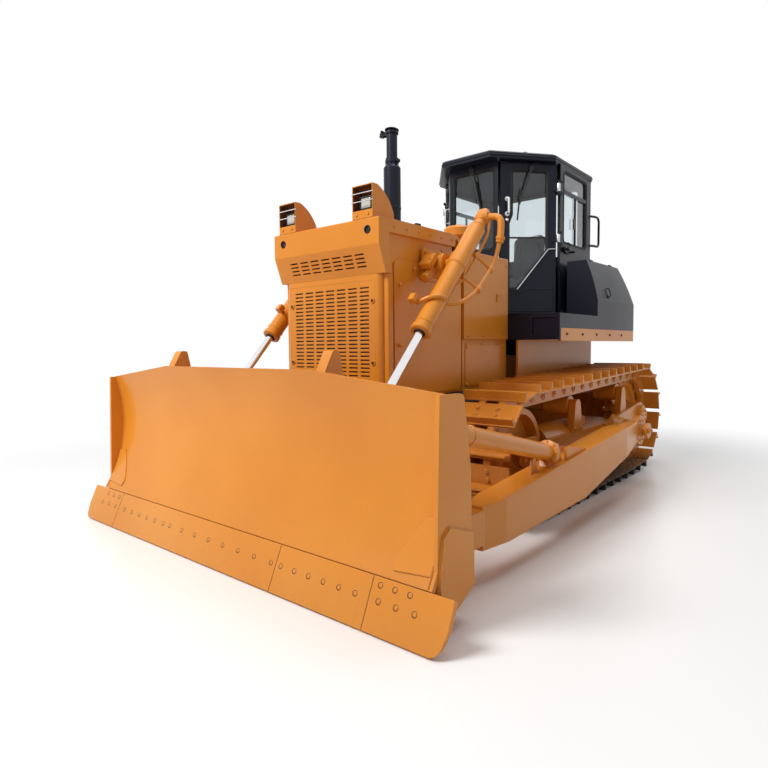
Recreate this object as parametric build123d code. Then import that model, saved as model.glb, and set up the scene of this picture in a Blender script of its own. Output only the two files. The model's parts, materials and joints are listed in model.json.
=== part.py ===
from build123d import *
import math
import os

# Frame: the front faces -Y, the machine's left is +X, the ground is Z = 0, millimetres.

# Fits used all over
SEAT_GAP = 0.4        # between bolted pieces that sit on each other
RUN_GAP = 0.5         # between a roller and the rail it runs on
PANEL_GAP = 6.0       # seam between neighbouring sheet panels
DOOR_GAP = 12.0       # round a door
PIN_FIT = 0.8         # radial play of a pivot, ball or rod

# Track chain
TRACK_GAUGE = 2000
SHOE_WIDTH = 560
SHOE_COUNT = 38
SHOE_THICK = 14
SHOE_SEAM = 8
GROUSER_HEIGHT = 65
GROUSER_ROOT = 34
GROUSER_TIP = 18
GROUSER_SETBACK = 12   # from the shoe's rear edge
LINK_ABOVE_PIN = 58
LINK_BELOW_PIN = 62
RAIL_INSIDE = 120
RAIL_WIDTH = 55
RAIL_Z = GROUSER_HEIGHT + SHOE_THICK + LINK_ABOVE_PIN + LINK_BELOW_PIN
RAIL_HALF = RAIL_INSIDE / 2 + RAIL_WIDTH

# Running gear
WHEELBASE = 2730
SPROCKET_Y = 2130
SPROCKET_R = 406
SPROCKET_RISE = 25
SPROCKET_TEETH = 27
SPROCKET_WIDTH = 90
SPROCKET_ROOT = SPROCKET_R + 20
SPROCKET_TIP = SPROCKET_R + LINK_BELOW_PIN + 8
SPROCKET_HUB = 170
IDLER_R = 360
IDLER_RISE = 15
IDLER_GUIDE = 22       # height of the middle flange
ROLLER_R = 110
ROLLER_FLANGE = 18
ROLLER_COUNT = 6
ROLLER_FRONT = 430     # first roller behind the idler
ROLLER_REAR = 520      # last roller ahead of the sprocket
CARRIER_R = 90
CARRIER_FRONT = 990    # first carrier roller behind the idler
CARRIER_REAR = 490     # last carrier roller ahead of the sprocket
CARRIER_DROP = 3
IDLER_Y = SPROCKET_Y - WHEELBASE
SPROCKET_Z = RAIL_Z + SPROCKET_R + SPROCKET_RISE
IDLER_Z = RAIL_Z + IDLER_R + IDLER_RISE
ROLLER_Z = RAIL_Z + ROLLER_R
TRACK_X = TRACK_GAUGE / 2
CARRIER_YS = (IDLER_Y + CARRIER_FRONT, SPROCKET_Y - CARRIER_REAR)

# Track frame
FRAME_INSIDE = 340
FRAME_WALL = 20
FRAME_TOP = 640
FRAME_BOTTOM = 290
AXLE_R = 45
SPRING_SHARE = 0.271   # of the wheelbase, under the recoil spring's round cover
SPRING_LENGTH = SPRING_SHARE * WHEELBASE
SPRING_DROP = 75       # its centre below the frame's top

# Push-arm trunnion and dozer linkage
TRUNNION_X = TRACK_X + 430
TRUNNION_Y = 1370
TRUNNION_Z = 560
TRUNNION_PIN_R = 52
BALL_R = 80
SOCKET_R = 150
SOCKET_WIDTH = 60
ARM_CLEAR = 120        # from the track shoes
ARM_WIDTH = 200
ARM_INSIDE = TRACK_X + SHOE_WIDTH / 2 + ARM_CLEAR
ARM_OUTSIDE = ARM_INSIDE + ARM_WIDTH
ARM_X = (ARM_INSIDE + ARM_OUTSIDE) / 2

# Blade
BLADE_REACH = 4170     # trunnion to cutting tip
BLADE_WIDTH = 3448     # over the side plates
BLADE_SIDE = 25
EDGE_WIDTH = 3725      # over the end bits
EDGE_MIDDLE = 2620     # between the end bits
EDGE_SEAM = 1250       # between the two seams of the middle edge
EDGE_LIFT = 10
EDGE_LINE = 262
EDGE_ROUND = 70
BLADE_TOP = 1310
BLADE_END_TOP = 1205
BLADE_FLAT = 1600      # width of the level part of the top edge
BLADE_DEPTH = 470
DOUBLER = 14
TIP_Y = TRUNNION_Y - BLADE_REACH
BLADE_BACK = TIP_Y + BLADE_DEPTH

# Lift cylinders
LIFT_X = 830
LIFT_T = (-1080, 2080)     # trunnion, Y and Z
LIFT_P = (-2155, 900)      # rod eye, Y and Z
LIFT_BARREL_R = 70
LIFT_ROD_R = 31
LIFT_PIN_R = 36
LIFT_BELOW = 736           # gland below the trunnion
LIFT_ABOVE = 600           # neck's end above the trunnion
LIFT_NECK = 210            # narrow neck at the cap end
LIFT_NECK_R = 46
LIFT_ROD = 1400
EYE_R = 62
EYE_WIDTH = 60
EAR_GAP = 190
EAR_THICK = 22
EAR_TOP = 1421
STAY_WIDTH = 80
YOKE_PLATE = 20
YOKE_R = 78

# Tilt cylinder and brace
TILT_REAR = (-870, 650)
TILT_FRONT = (-2190, 960)
TILT_BARREL_R = 80
TILT_ROD_R = 38
TILT_PIN_R = 24
BRACE_R = 60

# Hull
HULL_HALF = 430
RAIL_PLATE = 100
RAIL_SHEET = 28
HULL_BOTTOM = 405
HULL_RAIL_LOW = 560
HULL_RAIL_TOP = 900
CASE_HALF = 480
CASE_FRONT = 1250
CASE_REAR = 2480
CASE_TOP = 1330
CASE_ROUND = 60
EQUALIZER_DEPTH = 140
EQUALIZER_HEIGHT = 130
EQUALIZER_SHARE = 0.66     # of the way from the idler's rear to the case
IDLER_BACK = IDLER_Y + IDLER_R + IDLER_GUIDE
EQUALIZER_Y = IDLER_BACK + EQUALIZER_SHARE * (CASE_FRONT - IDLER_BACK)
BOLT_SPACING = (600, 400)
BOLT_MIDDLE = 960
BOLT_R = 15
FINAL_R = 300
REAR_END = -TIP_Y
DRAWBAR_LOW = 520
DRAWBAR_HIGH = 680
DRAWBAR_PLATE = 40
DRAWBAR_HALF = 110
DRAWBAR_PIN_R = 28
DRAWBAR_PIN_BACK = 90      # pin ahead of the drawbar's end

# Hood
HOOD_HALF = 577
MASK_HALF = 522
MASK_FRONT = -1640
MASK_TOP = 1975
MASK_BOTTOM = 720
MASK_DEPTH = 330
MASK_ROUND = 45
GRILLE_HALF = 470
GRILLE_LOW = 1170
GRILLE_HIGH = 1930
GRILLE_PLATE = 12
GRILLE_LIP = 20
SLOT = (92, 11)
SLOT_PITCH = (121, 30)
SLOT_GRID = (7, 23)
CAP_SLOT_ROWS = 4
HOOD_TOP = 2371
HOOD_LOW_TOP = 2262        # behind the step
HOOD_STEP = (-720, -560)
HOOD_FLANGE = 100
CAP_FRONT = -1713
CAP_CREASE = 2178
CAP_REAR = -1600
CHIN_DEPTH = 75            # cap's side return at its lower edge
CAP_HOLE_R = 25
CAP_HOLE_X = 466
CAP_HOLE_Z = 2288
HOOD_REAR = 170
SHEET = 28
SIDE_SPLIT = -610
SIDE_LOW = 1050
SIDE_LEDGE = 1500
HATCH_TOP = 2085
HATCH_ROUND = 60
CHEEK = 62                 # rounded column beside the mask
HATCH_RAISE = 16
HATCH_FACE = HOOD_HALF - SHEET - SEAT_GAP + HATCH_RAISE
LAMP_X = (316, 515)
LAMP_BACK = 4              # behind the cap's front
LAMP_HEIGHT = 242
LAMP_DEPTH = 242
LAMP_SHEET = 6
LAMP_MOUTH = 60            # opening above the box's foot
LAMP_SIZE = (115, 70, 92)
GUARD_R = 4
EXHAUST_Y = -860
EXHAUST_R = 75
EXHAUST_TOP = 3030
PIPE_R = 48
PIPE_TOP = 3320
CLEANER = (400, -430)
CLEANER_R = 122
CLEANER_TOP = 2500

# Cab plan corners on the machine's left, and heights
CAB_F = (290, 480)
CAB_M = (720, 1020)
CAB_R = (700, 1900)
CAB_WALL = 45
GLASS_BACK = 18            # glass behind the wall's face
GLASS_THICK = 8
WINDOW_ROUND = 50
FRONT_WINDOW_HALF = 240
FRONT_WINDOW_Z = (2440, 3250)
REAR_WINDOW_HALF = 560
REAR_WINDOW_Z = (2490, 3250)
SIDE_WINDOW = (95, 740)    # from the door corner
SIDE_WINDOW_Z = (2530, 3270)
SIDE_BAR = (418, 440)      # upright bar, from the door corner
SIDE_RAIL_Z = (3040, 3080)
GRAB_Z = (2590, 2925)
GRAB_R = 13
GRAB_BEND = 55
GRAB_OUT = 35              # beside the wall
GRAB_REACH = 165           # behind the rear corner
DECK_TOP = 1735
FLOOR_THICK = 25
ROOF_LOW = 3320
ROOF_TOP = 3400
ROOF_CROWN = 22
ROOF_NOSE = 156            # overhang ahead of the front wall
ROOF_HIP = 120             # overhang ahead of the side corner
ROOF_TAIL = 15
DOOR_HINGE_OUT = 16
HINGE_ZS = (2555, 3075)
HINGE_HALF = 40
HINGE_PIN_R = 9
DOOR_EDGE = 30             # free edge from the front corner
HANDLE_Z = (2790, 2940)
DECK_HALF = 1100
DECK_FRONT = 170
DECK_LOW = 1600
DECK_FACE_LOW = 1495
SKIRT_LOW = 1480
INNER_WALL = (650, 672)     # plate under the deck, beside the track
INNER_WALL_LOW = SIDE_LOW + 10
INNER_WALL_ROUND = 130
TANK_GAP = 30
TANK_DEPTH = 290
TANK_REAR = CAB_R[1] + TANK_GAP + TANK_DEPTH
INNER_WALL_REAR = TANK_REAR - 180
TANK_TOP = 2320
TANK_TOP_HALF = 975
TANK_BULGE = 12
TANK_SHOULDER = 1900
TANK_SLOPE = 200
BOX_INSIDE = 770
BOX_LENGTH = 840
PLATFORM_HALF = 560
PLATFORM_THICK = 40


def outline(shape):
    return Polygon(*shape, align=None) if isinstance(shape, list) else shape


def rounded(points, radius, corners=None):
    """Polygon with the named corners, or all of them, rounded."""
    face = Polygon(*points, align=None)
    wanted = [points[i] for i in corners] if corners is not None else points
    chosen = [v for v in face.vertices() if any(math.dist((v.X, v.Y), p) < 0.1 for p in wanted)]
    return fillet(chosen, radius)


def box(x0, x1, y0, y1, z0, z1):
    return Pos((x0 + x1) / 2, (y0 + y1) / 2, (z0 + z1) / 2) * Box(x1 - x0, y1 - y0, z1 - z0)


def side_prism(shape, x0, x1):
    """Profile in (y, z), drawn out along X."""
    return extrude(Plane.YZ.offset(x0) * outline(shape), amount=x1 - x0, dir=(1, 0, 0))


def plan_prism(shape, z0, z1):
    """Profile in (x, y), drawn out along Z."""
    return extrude(Plane.XY.offset(z0) * outline(shape), amount=z1 - z0, dir=(0, 0, 1))


def front_prism(shape, y0, y1):
    """Profile in (x, z), drawn out along Y."""
    plane = Plane(origin=(0, y0, 0), x_dir=(1, 0, 0), z_dir=(0, -1, 0))
    return extrude(plane * outline(shape), amount=y1 - y0, dir=(0, 1, 0))


def rod_x(x0, x1, y, z, r):
    return Pos((x0 + x1) / 2, y, z) * Rot(0, 90, 0) * Cylinder(r, x1 - x0)


def rod_z(x, y, z0, z1, r):
    return Pos(x, y, (z0 + z1) / 2) * Cylinder(r, z1 - z0)


def rod_between(p, q, r):
    start = Vector(*p)
    along = Vector(*q) - start
    plane = Plane(origin=start, z_dir=along.normalized())
    return extrude(plane * Circle(r), amount=along.length)


def turned(points, y, z):
    """Profile in (x, radius), turned about the cross axis at (y, z)."""
    return Pos(0, y, z) * revolve(Polygon(*points, align=None), Axis.X)


def both_ways(middle, half):
    """Closed wheel profile about x = middle from its outer half, listed outwards."""
    return [(middle - x, r) for x, r in reversed(half)] + [(middle + x, r) for x, r in half]


def spun(points, origin, direction):
    """Profile in (radius, along), turned about a line."""
    face = Plane.XZ * Polygon(*points, align=None)
    return Plane(origin=origin, z_dir=direction).location * revolve(face, Axis.Z)


def tube(points, radius, bend):
    path = FilletPolyline(*points, radius=bend)
    return sweep(Plane(origin=path @ 0, z_dir=path % 0) * Circle(radius), path=path)


def flip(shape):
    return mirror(shape, about=Plane.YZ)


def save(name, *shapes):
    solids = []
    for shape in shapes:
        solids.extend(shape.solids())
    export_step(solids[0] if len(solids) == 1 else Compound(solids), f"parts/{name}.step")


def save_both(name, *shapes):
    """Both sides' pieces in one node."""
    save(name, *shapes, *[flip(shape) for shape in shapes])


def save_pair(name, *shapes):
    """One node for the machine's left and its mirror image for the right."""
    save(f"{name}_left", *shapes)
    save(f"{name}_right", *[flip(shape) for shape in shapes])


# Path of the link pins: a belt round idler, sprocket and the two end rollers
def belt_segments(circles):
    tangents = []
    for (ay, az, ar), (by, bz, br) in zip(circles, circles[1:] + circles[:1]):
        dy, dz = by - ay, bz - az
        lean = math.asin((ar - br) / math.hypot(dy, dz))
        turn = math.atan2(dz, dy) - math.pi / 2 + lean
        normal = (math.cos(turn), math.sin(turn))
        start = (ay + ar * normal[0], az + ar * normal[1])
        end = (by + br * normal[0], bz + br * normal[1])
        tangents.append((normal, start, end))
    segments = []
    for index, (normal, start, end) in enumerate(tangents):
        segments.append(("line", start, end, normal, math.dist(start, end)))
        centre_y, centre_z, radius = circles[(index + 1) % len(circles)]
        first = math.atan2(normal[1], normal[0])
        after = tangents[(index + 1) % len(tangents)][0]
        sweep_angle = (math.atan2(after[1], after[0]) - first) % (2 * math.pi)
        segments.append(("arc", (centre_y, centre_z), radius, first, radius * sweep_angle))
    return segments


def belt_point(segments, distance):
    for kind, a, b, c, length in segments:
        if distance <= length:
            if kind == "line":
                part = distance / length
                return (a[0] + part * (b[0] - a[0]), a[1] + part * (b[1] - a[1])), c
            angle = c + distance / b
            normal = (math.cos(angle), math.sin(angle))
            return (a[0] + b * normal[0], a[1] + b * normal[1]), normal
        distance -= length
    raise ValueError("beyond the belt")


PIN_LINE = [
    (IDLER_Y + ROLLER_FRONT, ROLLER_Z, ROLLER_R + LINK_BELOW_PIN),
    (SPROCKET_Y - ROLLER_REAR, ROLLER_Z, ROLLER_R + LINK_BELOW_PIN),
    (SPROCKET_Y, SPROCKET_Z, SPROCKET_R + LINK_BELOW_PIN),
    (IDLER_Y, IDLER_Z, IDLER_R + LINK_BELOW_PIN),
]
BELT = belt_segments(PIN_LINE)
PITCH = sum(segment[4] for segment in BELT) / SHOE_COUNT


def link_polygon(links, offset):
    """Straight link flanks, each tangent to the belt at its middle and meeting the next."""
    points = []
    for (p, n), (q, m) in zip(links, links[1:] + links[:1]):
        cross = n[0] * m[1] - n[1] * m[0]
        if abs(cross) < 1e-6:
            points.append(((p[0] + q[0]) / 2 + offset * n[0], (p[1] + q[1]) / 2 + offset * n[1]))
        else:
            c1 = p[0] * n[0] + p[1] * n[1] + offset
            c2 = q[0] * m[0] + q[1] * m[1] + offset
            points.append(((c1 * m[1] - c2 * n[1]) / cross, (c2 * n[0] - c1 * m[0]) / cross))
    return points


# Track: two link rails and a single-grouser shoe on every link, one loop
def make_track():
    links = [belt_point(BELT, (i + 0.5) * PITCH) for i in range(SHOE_COUNT)]
    outer = link_polygon(links, LINK_ABOVE_PIN)
    inner = link_polygon(links, -LINK_BELOW_PIN)
    loop = Polygon(*outer, align=None) - Polygon(*inner, align=None)
    solids = []
    for x0 in (TRACK_X - RAIL_HALF, TRACK_X + RAIL_INSIDE / 2):
        solids.append(extrude(Plane.YZ.offset(x0) * loop, amount=RAIL_WIDTH, dir=(1, 0, 0)))
    half = (PITCH - SHOE_SEAM) / 2
    plate_out = LINK_ABOVE_PIN + SHOE_THICK
    tip_out = plate_out + GROUSER_HEIGHT
    middle = half - GROUSER_ROOT / 2 - GROUSER_SETBACK
    profile = [
        (-half, LINK_ABOVE_PIN),
        (half, LINK_ABOVE_PIN),
        (half, plate_out),
        (middle + GROUSER_ROOT / 2, plate_out),
        (middle + GROUSER_TIP / 2, tip_out),
        (middle - GROUSER_TIP / 2, tip_out),
        (middle - GROUSER_ROOT / 2, plate_out),
        (-half, plate_out),
    ]
    for (y, z), (ny, nz) in links:
        points = [(y - t * nz + n * ny, z + t * ny + n * nz) for t, n in profile]
        solids.append(side_prism(points, TRACK_X - SHOE_WIDTH / 2, TRACK_X + SHOE_WIDTH / 2))
    return solids[0].fuse(*solids[1:])


# Running gear, drawn on the machine's left
def make_sprocket():
    points = []
    for tooth in range(SPROCKET_TEETH):
        for part, radius in ((0.0, SPROCKET_ROOT), (0.3, SPROCKET_ROOT), (0.52, SPROCKET_TIP),
                             (0.78, SPROCKET_TIP)):
            angle = 2 * math.pi * (tooth + part) / SPROCKET_TEETH
            points.append((SPROCKET_Y + radius * math.cos(angle),
                           SPROCKET_Z + radius * math.sin(angle)))
    half = SPROCKET_WIDTH / 2
    wheel = side_prism(points, TRACK_X - half, TRACK_X + half)
    dish = [(TRACK_X + half + 1, SPROCKET_HUB), (TRACK_X + half + 1, SPROCKET_R - 60),
            (TRACK_X, SPROCKET_R - 80),
            (TRACK_X, SPROCKET_HUB + 20)]
    wheel -= turned(dish, SPROCKET_Y, SPROCKET_Z)
    end = TRACK_X + FRAME_INSIDE / 2 - SEAT_GAP
    hub = [(TRACK_X, 0), (TRACK_X, SPROCKET_HUB), (TRACK_X + half + 10, SPROCKET_HUB),
           (end, SPROCKET_HUB - 50), (end, 0)]
    return wheel + turned(hub, SPROCKET_Y, SPROCKET_Z)


def make_idler():
    tread = IDLER_R - RUN_GAP
    end = FRAME_INSIDE / 2 - SEAT_GAP
    shaft = AXLE_R + 15
    half = [(50, IDLER_R + IDLER_GUIDE), (50, tread), (RAIL_HALF, tread), (RAIL_HALF, tread - 50),
            (30, tread - 75),
            (30, 150), (95, 120), (95, shaft), (end, shaft), (end, 0)]
    return turned(both_ways(TRACK_X, half), IDLER_Y, IDLER_Z)


def make_rollers():
    spacing = (WHEELBASE - ROLLER_FRONT - ROLLER_REAR) / (ROLLER_COUNT - 1)
    tread = ROLLER_R - RUN_GAP
    end = FRAME_INSIDE / 2 - SEAT_GAP
    flange = RAIL_HALF + 2
    half = [(flange, tread), (flange, ROLLER_R + ROLLER_FLANGE),
            (flange + 20, ROLLER_R + ROLLER_FLANGE), (end, AXLE_R),
            (end, 0)]
    roller = turned(both_ways(TRACK_X, half), IDLER_Y + ROLLER_FRONT, ROLLER_Z)
    return [Pos(0, i * spacing, 0) * roller for i in range(ROLLER_COUNT)]


def top_rail_z(y):
    """Height of the top strand's rail surface above a place on the frame."""
    start, end, normal = BELT[4][1:4]
    part = (y - start[0]) / (end[0] - start[0])
    pin = start[1] + part * (end[1] - start[1])
    return pin - LINK_BELOW_PIN / abs(normal[1])


def make_carriers():
    rollers = []
    posts = []
    post_x = TRACK_X + RAIL_HALF + 10
    for y in CARRIER_YS:
        z = top_rail_z(y) - CARRIER_R - CARRIER_DROP
        left = TRACK_X - RAIL_HALF
        profile = [(left, 0), (left, CARRIER_R), (post_x - 10, CARRIER_R), (post_x - 10, AXLE_R),
                   (post_x - SEAT_GAP, AXLE_R), (post_x - SEAT_GAP, 0)]
        rollers.append(turned(profile, y, z))
        shape = Polygon((y - 105, FRAME_TOP - 5), (y + 105, FRAME_TOP - 5), (y + 60, z), (y - 60, z),
                        align=None)
        shape += Pos(y, z) * Circle(60)
        posts.append(side_prism(shape, post_x, TRACK_X + FRAME_INSIDE / 2 + FRAME_WALL))
    return rollers, posts


def make_track_frame(posts):
    inside = FRAME_INSIDE / 2
    outside = inside + FRAME_WALL
    top_front = IDLER_Y + IDLER_R + IDLER_GUIDE + 20
    top_rear = SPROCKET_Y - SPROCKET_TIP - 32
    frame = box(TRACK_X - outside, TRACK_X + outside, top_front, top_rear, FRAME_TOP - FRAME_WALL,
                FRAME_TOP)
    profile = [
        (IDLER_Y - 130, IDLER_Z - 70),
        (IDLER_Y + 250, FRAME_BOTTOM),
        (SPROCKET_Y - 330, FRAME_BOTTOM),
        (SPROCKET_Y - 400, FRAME_TOP),
        (IDLER_Y + 170, FRAME_TOP),
        (IDLER_Y + 130, FRAME_TOP + 60),
        (IDLER_Y - 110, FRAME_TOP + 60),
        (IDLER_Y - 130, FRAME_TOP + 30),
    ]
    for side in (-1, 1):
        x0 = TRACK_X + side * (inside + FRAME_WALL / 2) - FRAME_WALL / 2
        frame += side_prism(rounded(profile, 25, (0, 6, 7)), x0, x0 + FRAME_WALL)
    # round cover of the recoil spring
    cover = front_prism(Pos(TRACK_X, FRAME_TOP - SPRING_DROP) * Circle(inside), top_front,
                        top_front + SPRING_LENGTH)
    frame += cover & box(TRACK_X - inside, TRACK_X + inside, top_front, top_front + SPRING_LENGTH,
                         FRAME_TOP - FRAME_WALL, FRAME_TOP + inside)
    # outer carrier of the sprocket shaft
    arm = Polygon((TRUNNION_Y - 330, FRAME_BOTTOM + 60), (SPROCKET_Y, SPROCKET_Z - 150),
                  (SPROCKET_Y, SPROCKET_Z + 150),
                  (TRUNNION_Y - 330, FRAME_TOP), align=None)
    arm += Pos(SPROCKET_Y, SPROCKET_Z) * Circle(150)
    frame += side_prism(arm, TRACK_X + inside, TRACK_X + inside + 45)
    cap = [(TRACK_X + inside, 0), (TRACK_X + inside, 120), (TRACK_X + inside + 85, 110),
           (TRACK_X + inside + 100, 80),
           (TRACK_X + inside + 100, 0)]
    frame += turned(cap, SPROCKET_Y, SPROCKET_Z)
    # trunnion pin of the push arm
    end = TRUNNION_X + 95
    pin = [(TRACK_X + inside, 0), (TRACK_X + inside, 150), (TRUNNION_X - 140, 105),
           (TRUNNION_X - 90, 105),
           (TRUNNION_X - 90, TRUNNION_PIN_R), (end - 15, TRUNNION_PIN_R), (end - 15, 78),
           (end + 15, 78), (end + 15, 0)]
    frame += turned(pin, TRUNNION_Y, TRUNNION_Z)
    for post in posts:
        frame += post
    return frame


def make_final_drive():
    start = CASE_HALF + SEAT_GAP
    shoulder = TRACK_X - SHOE_WIDTH / 2
    end = TRACK_X - SPROCKET_WIDTH / 2 - SEAT_GAP
    profile = [(start, 0), (start, FINAL_R - 40), (start + 60, FINAL_R), (shoulder - 20, FINAL_R),
               (shoulder + 20, FINAL_R - 80),
               (end, SPROCKET_HUB + 30), (end, 0)]
    return turned(profile, SPROCKET_Y, SPROCKET_Z)


# Hull: channel rails, belly guard, rear case with drawbar, engine and radiator
def make_hull():
    inner = HULL_HALF - RAIL_PLATE
    web = HULL_HALF - RAIL_SHEET
    channel = [(HULL_HALF, HULL_RAIL_LOW), (HULL_HALF, HULL_RAIL_TOP), (inner, HULL_RAIL_TOP),
               (inner, HULL_RAIL_TOP - RAIL_SHEET), (web, HULL_RAIL_TOP - RAIL_SHEET),
               (web, HULL_RAIL_LOW + RAIL_SHEET),
               (inner, HULL_RAIL_LOW + RAIL_SHEET), (inner, HULL_RAIL_LOW)]
    return front_prism(channel, MASK_FRONT + SHEET + SEAT_GAP, CASE_FRONT - SEAT_GAP)


def make_belly():
    rear = CASE_FRONT - SEAT_GAP
    front = MASK_FRONT + 200
    top = HULL_RAIL_LOW - SEAT_GAP
    plate = [(front, HULL_BOTTOM), (rear, HULL_BOTTOM), (rear, HULL_BOTTOM + FRAME_WALL),
             (front + 8, HULL_BOTTOM + FRAME_WALL),
             (MASK_FRONT + 80, top), (MASK_FRONT + 56, top)]
    flange = box(HULL_HALF - FRAME_WALL, HULL_HALF, front, rear, HULL_BOTTOM, top)
    return side_prism(plate, -HULL_HALF, HULL_HALF) + flange + flip(flange)


def make_case():
    low = HULL_BOTTOM + 25
    case = box(-CASE_HALF, CASE_HALF, CASE_FRONT, CASE_REAR, low, CASE_TOP)
    corners = case.edges().filter_by(Axis.Z).group_by(Axis.Y)[-1]
    case = fillet(corners, CASE_ROUND)
    for sx in (-1, 1):
        for sz in (-1, 1):
            spot = Pos(sx * BOLT_SPACING[0] / 2, CASE_REAR - 30, BOLT_MIDDLE + sz * BOLT_SPACING[1] / 2)
            case -= spot * Rot(90, 0, 0) * Cylinder(BOLT_R, 80)
    return case


def make_drawbar():
    y0 = CASE_REAR + SEAT_GAP
    bar = box(-190, 190, y0, y0 + 60, DRAWBAR_LOW - 40, DRAWBAR_HIGH + 40)
    end_y = REAR_END - DRAWBAR_HALF
    tongue = Polygon((-DRAWBAR_HALF, y0 + 40), (DRAWBAR_HALF, y0 + 40), (DRAWBAR_HALF, end_y),
                     (-DRAWBAR_HALF, end_y), align=None)
    tongue += Pos(0, end_y) * Circle(DRAWBAR_HALF)
    tongue -= Pos(0, REAR_END - DRAWBAR_PIN_BACK) * Circle(DRAWBAR_PIN_R)
    for z in (DRAWBAR_LOW, DRAWBAR_HIGH - DRAWBAR_PLATE):
        bar += plan_prism(tongue, z, z + DRAWBAR_PLATE)
    return bar


def make_equalizer():
    low = FRAME_TOP + SEAT_GAP
    shape = [(HULL_HALF + SEAT_GAP, low), (TRACK_X + 60, low),
             (TRACK_X + 60, low + EQUALIZER_HEIGHT - 50),
             (TRACK_X - 60, low + EQUALIZER_HEIGHT), (HULL_HALF + SEAT_GAP, low + EQUALIZER_HEIGHT)]
    return front_prism(shape, EQUALIZER_Y, EQUALIZER_Y + EQUALIZER_DEPTH)


def make_engine():
    inside = HULL_HALF - RAIL_PLATE - SEAT_GAP
    return box(-inside, inside, MASK_FRONT + 460, HOOD_REAR - 140, HULL_RAIL_LOW + 120,
               HOOD_LOW_TOP - 480)


def make_radiator():
    half = MASK_HALF - 60
    return box(-half, half, MASK_FRONT + 90, MASK_FRONT + 230, HULL_RAIL_TOP + SEAT_GAP, MASK_TOP - 20)


# Hood: mask with its slotted grille, cap, top and sides
def make_mask():
    rear = MASK_FRONT + MASK_DEPTH
    outer = [(-MASK_HALF, MASK_FRONT), (MASK_HALF, MASK_FRONT), (MASK_HALF, rear), (-MASK_HALF, rear)]
    inner = [(-MASK_HALF + SHEET, MASK_FRONT + SHEET), (MASK_HALF - SHEET, MASK_FRONT + SHEET),
             (MASK_HALF - SHEET, rear + 1),
             (-MASK_HALF + SHEET, rear + 1)]
    plan = rounded(outer, MASK_ROUND, (0, 1)) - rounded(inner, MASK_ROUND - SHEET, (0, 1))
    mask = plan_prism(plan, MASK_BOTTOM, MASK_TOP - SEAT_GAP)
    seat = GRILLE_PLATE + SEAT_GAP
    mask -= box(-GRILLE_HALF - SEAT_GAP, GRILLE_HALF + SEAT_GAP, MASK_FRONT - 1, MASK_FRONT + seat,
                GRILLE_LOW - SEAT_GAP,
                GRILLE_HIGH + SEAT_GAP)
    return mask - box(-GRILLE_HALF + GRILLE_LIP, GRILLE_HALF - GRILLE_LIP, MASK_FRONT - 1,
                      MASK_FRONT + SHEET + 1,
                      GRILLE_LOW + GRILLE_LIP, GRILLE_HIGH - GRILLE_LIP)


def make_grille():
    middle = (GRILLE_LOW + GRILLE_HIGH) / 2
    plate = RectangleRounded(2 * GRILLE_HALF, GRILLE_HIGH - GRILLE_LOW, 8)
    plate -= GridLocations(*SLOT_PITCH, *SLOT_GRID) * Rectangle(*SLOT)
    return front_prism(Pos(0, middle) * plate, MASK_FRONT, MASK_FRONT + GRILLE_PLATE)


def make_cap():
    outer = [(MASK_FRONT, MASK_TOP), (CAP_FRONT, CAP_CREASE), (CAP_FRONT, HOOD_TOP),
             (CAP_REAR, HOOD_TOP),
             (CAP_REAR, CAP_CREASE), (MASK_FRONT + CHIN_DEPTH, MASK_TOP)]
    behind = CAP_REAR + MASK_DEPTH
    inner = [(MASK_FRONT + SHEET + 2, MASK_TOP - 1), (CAP_FRONT + SHEET, CAP_CREASE + 5),
             (CAP_FRONT + SHEET, HOOD_TOP - SHEET), (behind, HOOD_TOP - SHEET), (behind, MASK_TOP - 1)]
    cap = side_prism(rounded(outer, 10, (2,)), -HOOD_HALF, HOOD_HALF)
    cap -= side_prism(inner, -HOOD_HALF + SHEET, HOOD_HALF - SHEET)
    rise = CAP_CREASE - MASK_TOP
    reach = MASK_FRONT - CAP_FRONT
    middle = (0, MASK_FRONT - reach / 2, MASK_TOP + rise / 2)
    face = Plane(origin=middle, x_dir=(1, 0, 0), z_dir=(0, -rise, -reach))
    slots = Sketch() + GridLocations(*SLOT_PITCH, SLOT_GRID[0], CAP_SLOT_ROWS) * Rectangle(*SLOT)
    cap -= extrude(face * slots, amount=SHEET * 2, both=True)
    drill = Rot(90, 0, 0) * Cylinder(CAP_HOLE_R, SHEET * 4)
    for x in (-CAP_HOLE_X, CAP_HOLE_X):
        cap -= Pos(x, CAP_FRONT, CAP_HOLE_Z) * drill
    return cap


def make_hood_top():
    step_front, step_rear = HOOD_STEP
    start = CAP_REAR + SEAT_GAP
    lap = SHEET / 3
    sheet = [(start, HOOD_TOP), (step_front, HOOD_TOP), (step_rear, HOOD_LOW_TOP),
             (HOOD_REAR, HOOD_LOW_TOP),
             (HOOD_REAR, HOOD_LOW_TOP - SHEET), (step_rear - lap, HOOD_LOW_TOP - SHEET),
             (step_front - lap, HOOD_TOP - SHEET),
             (start, HOOD_TOP - SHEET)]
    flange = [(start, HOOD_TOP - HOOD_FLANGE), (step_front - 20, HOOD_TOP - HOOD_FLANGE),
              (step_front, HOOD_TOP), (start, HOOD_TOP)]
    side = side_prism(flange, HOOD_HALF - SHEET, HOOD_HALF)
    return side_prism(sheet, -HOOD_HALF, HOOD_HALF) + side + flip(side)


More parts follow.
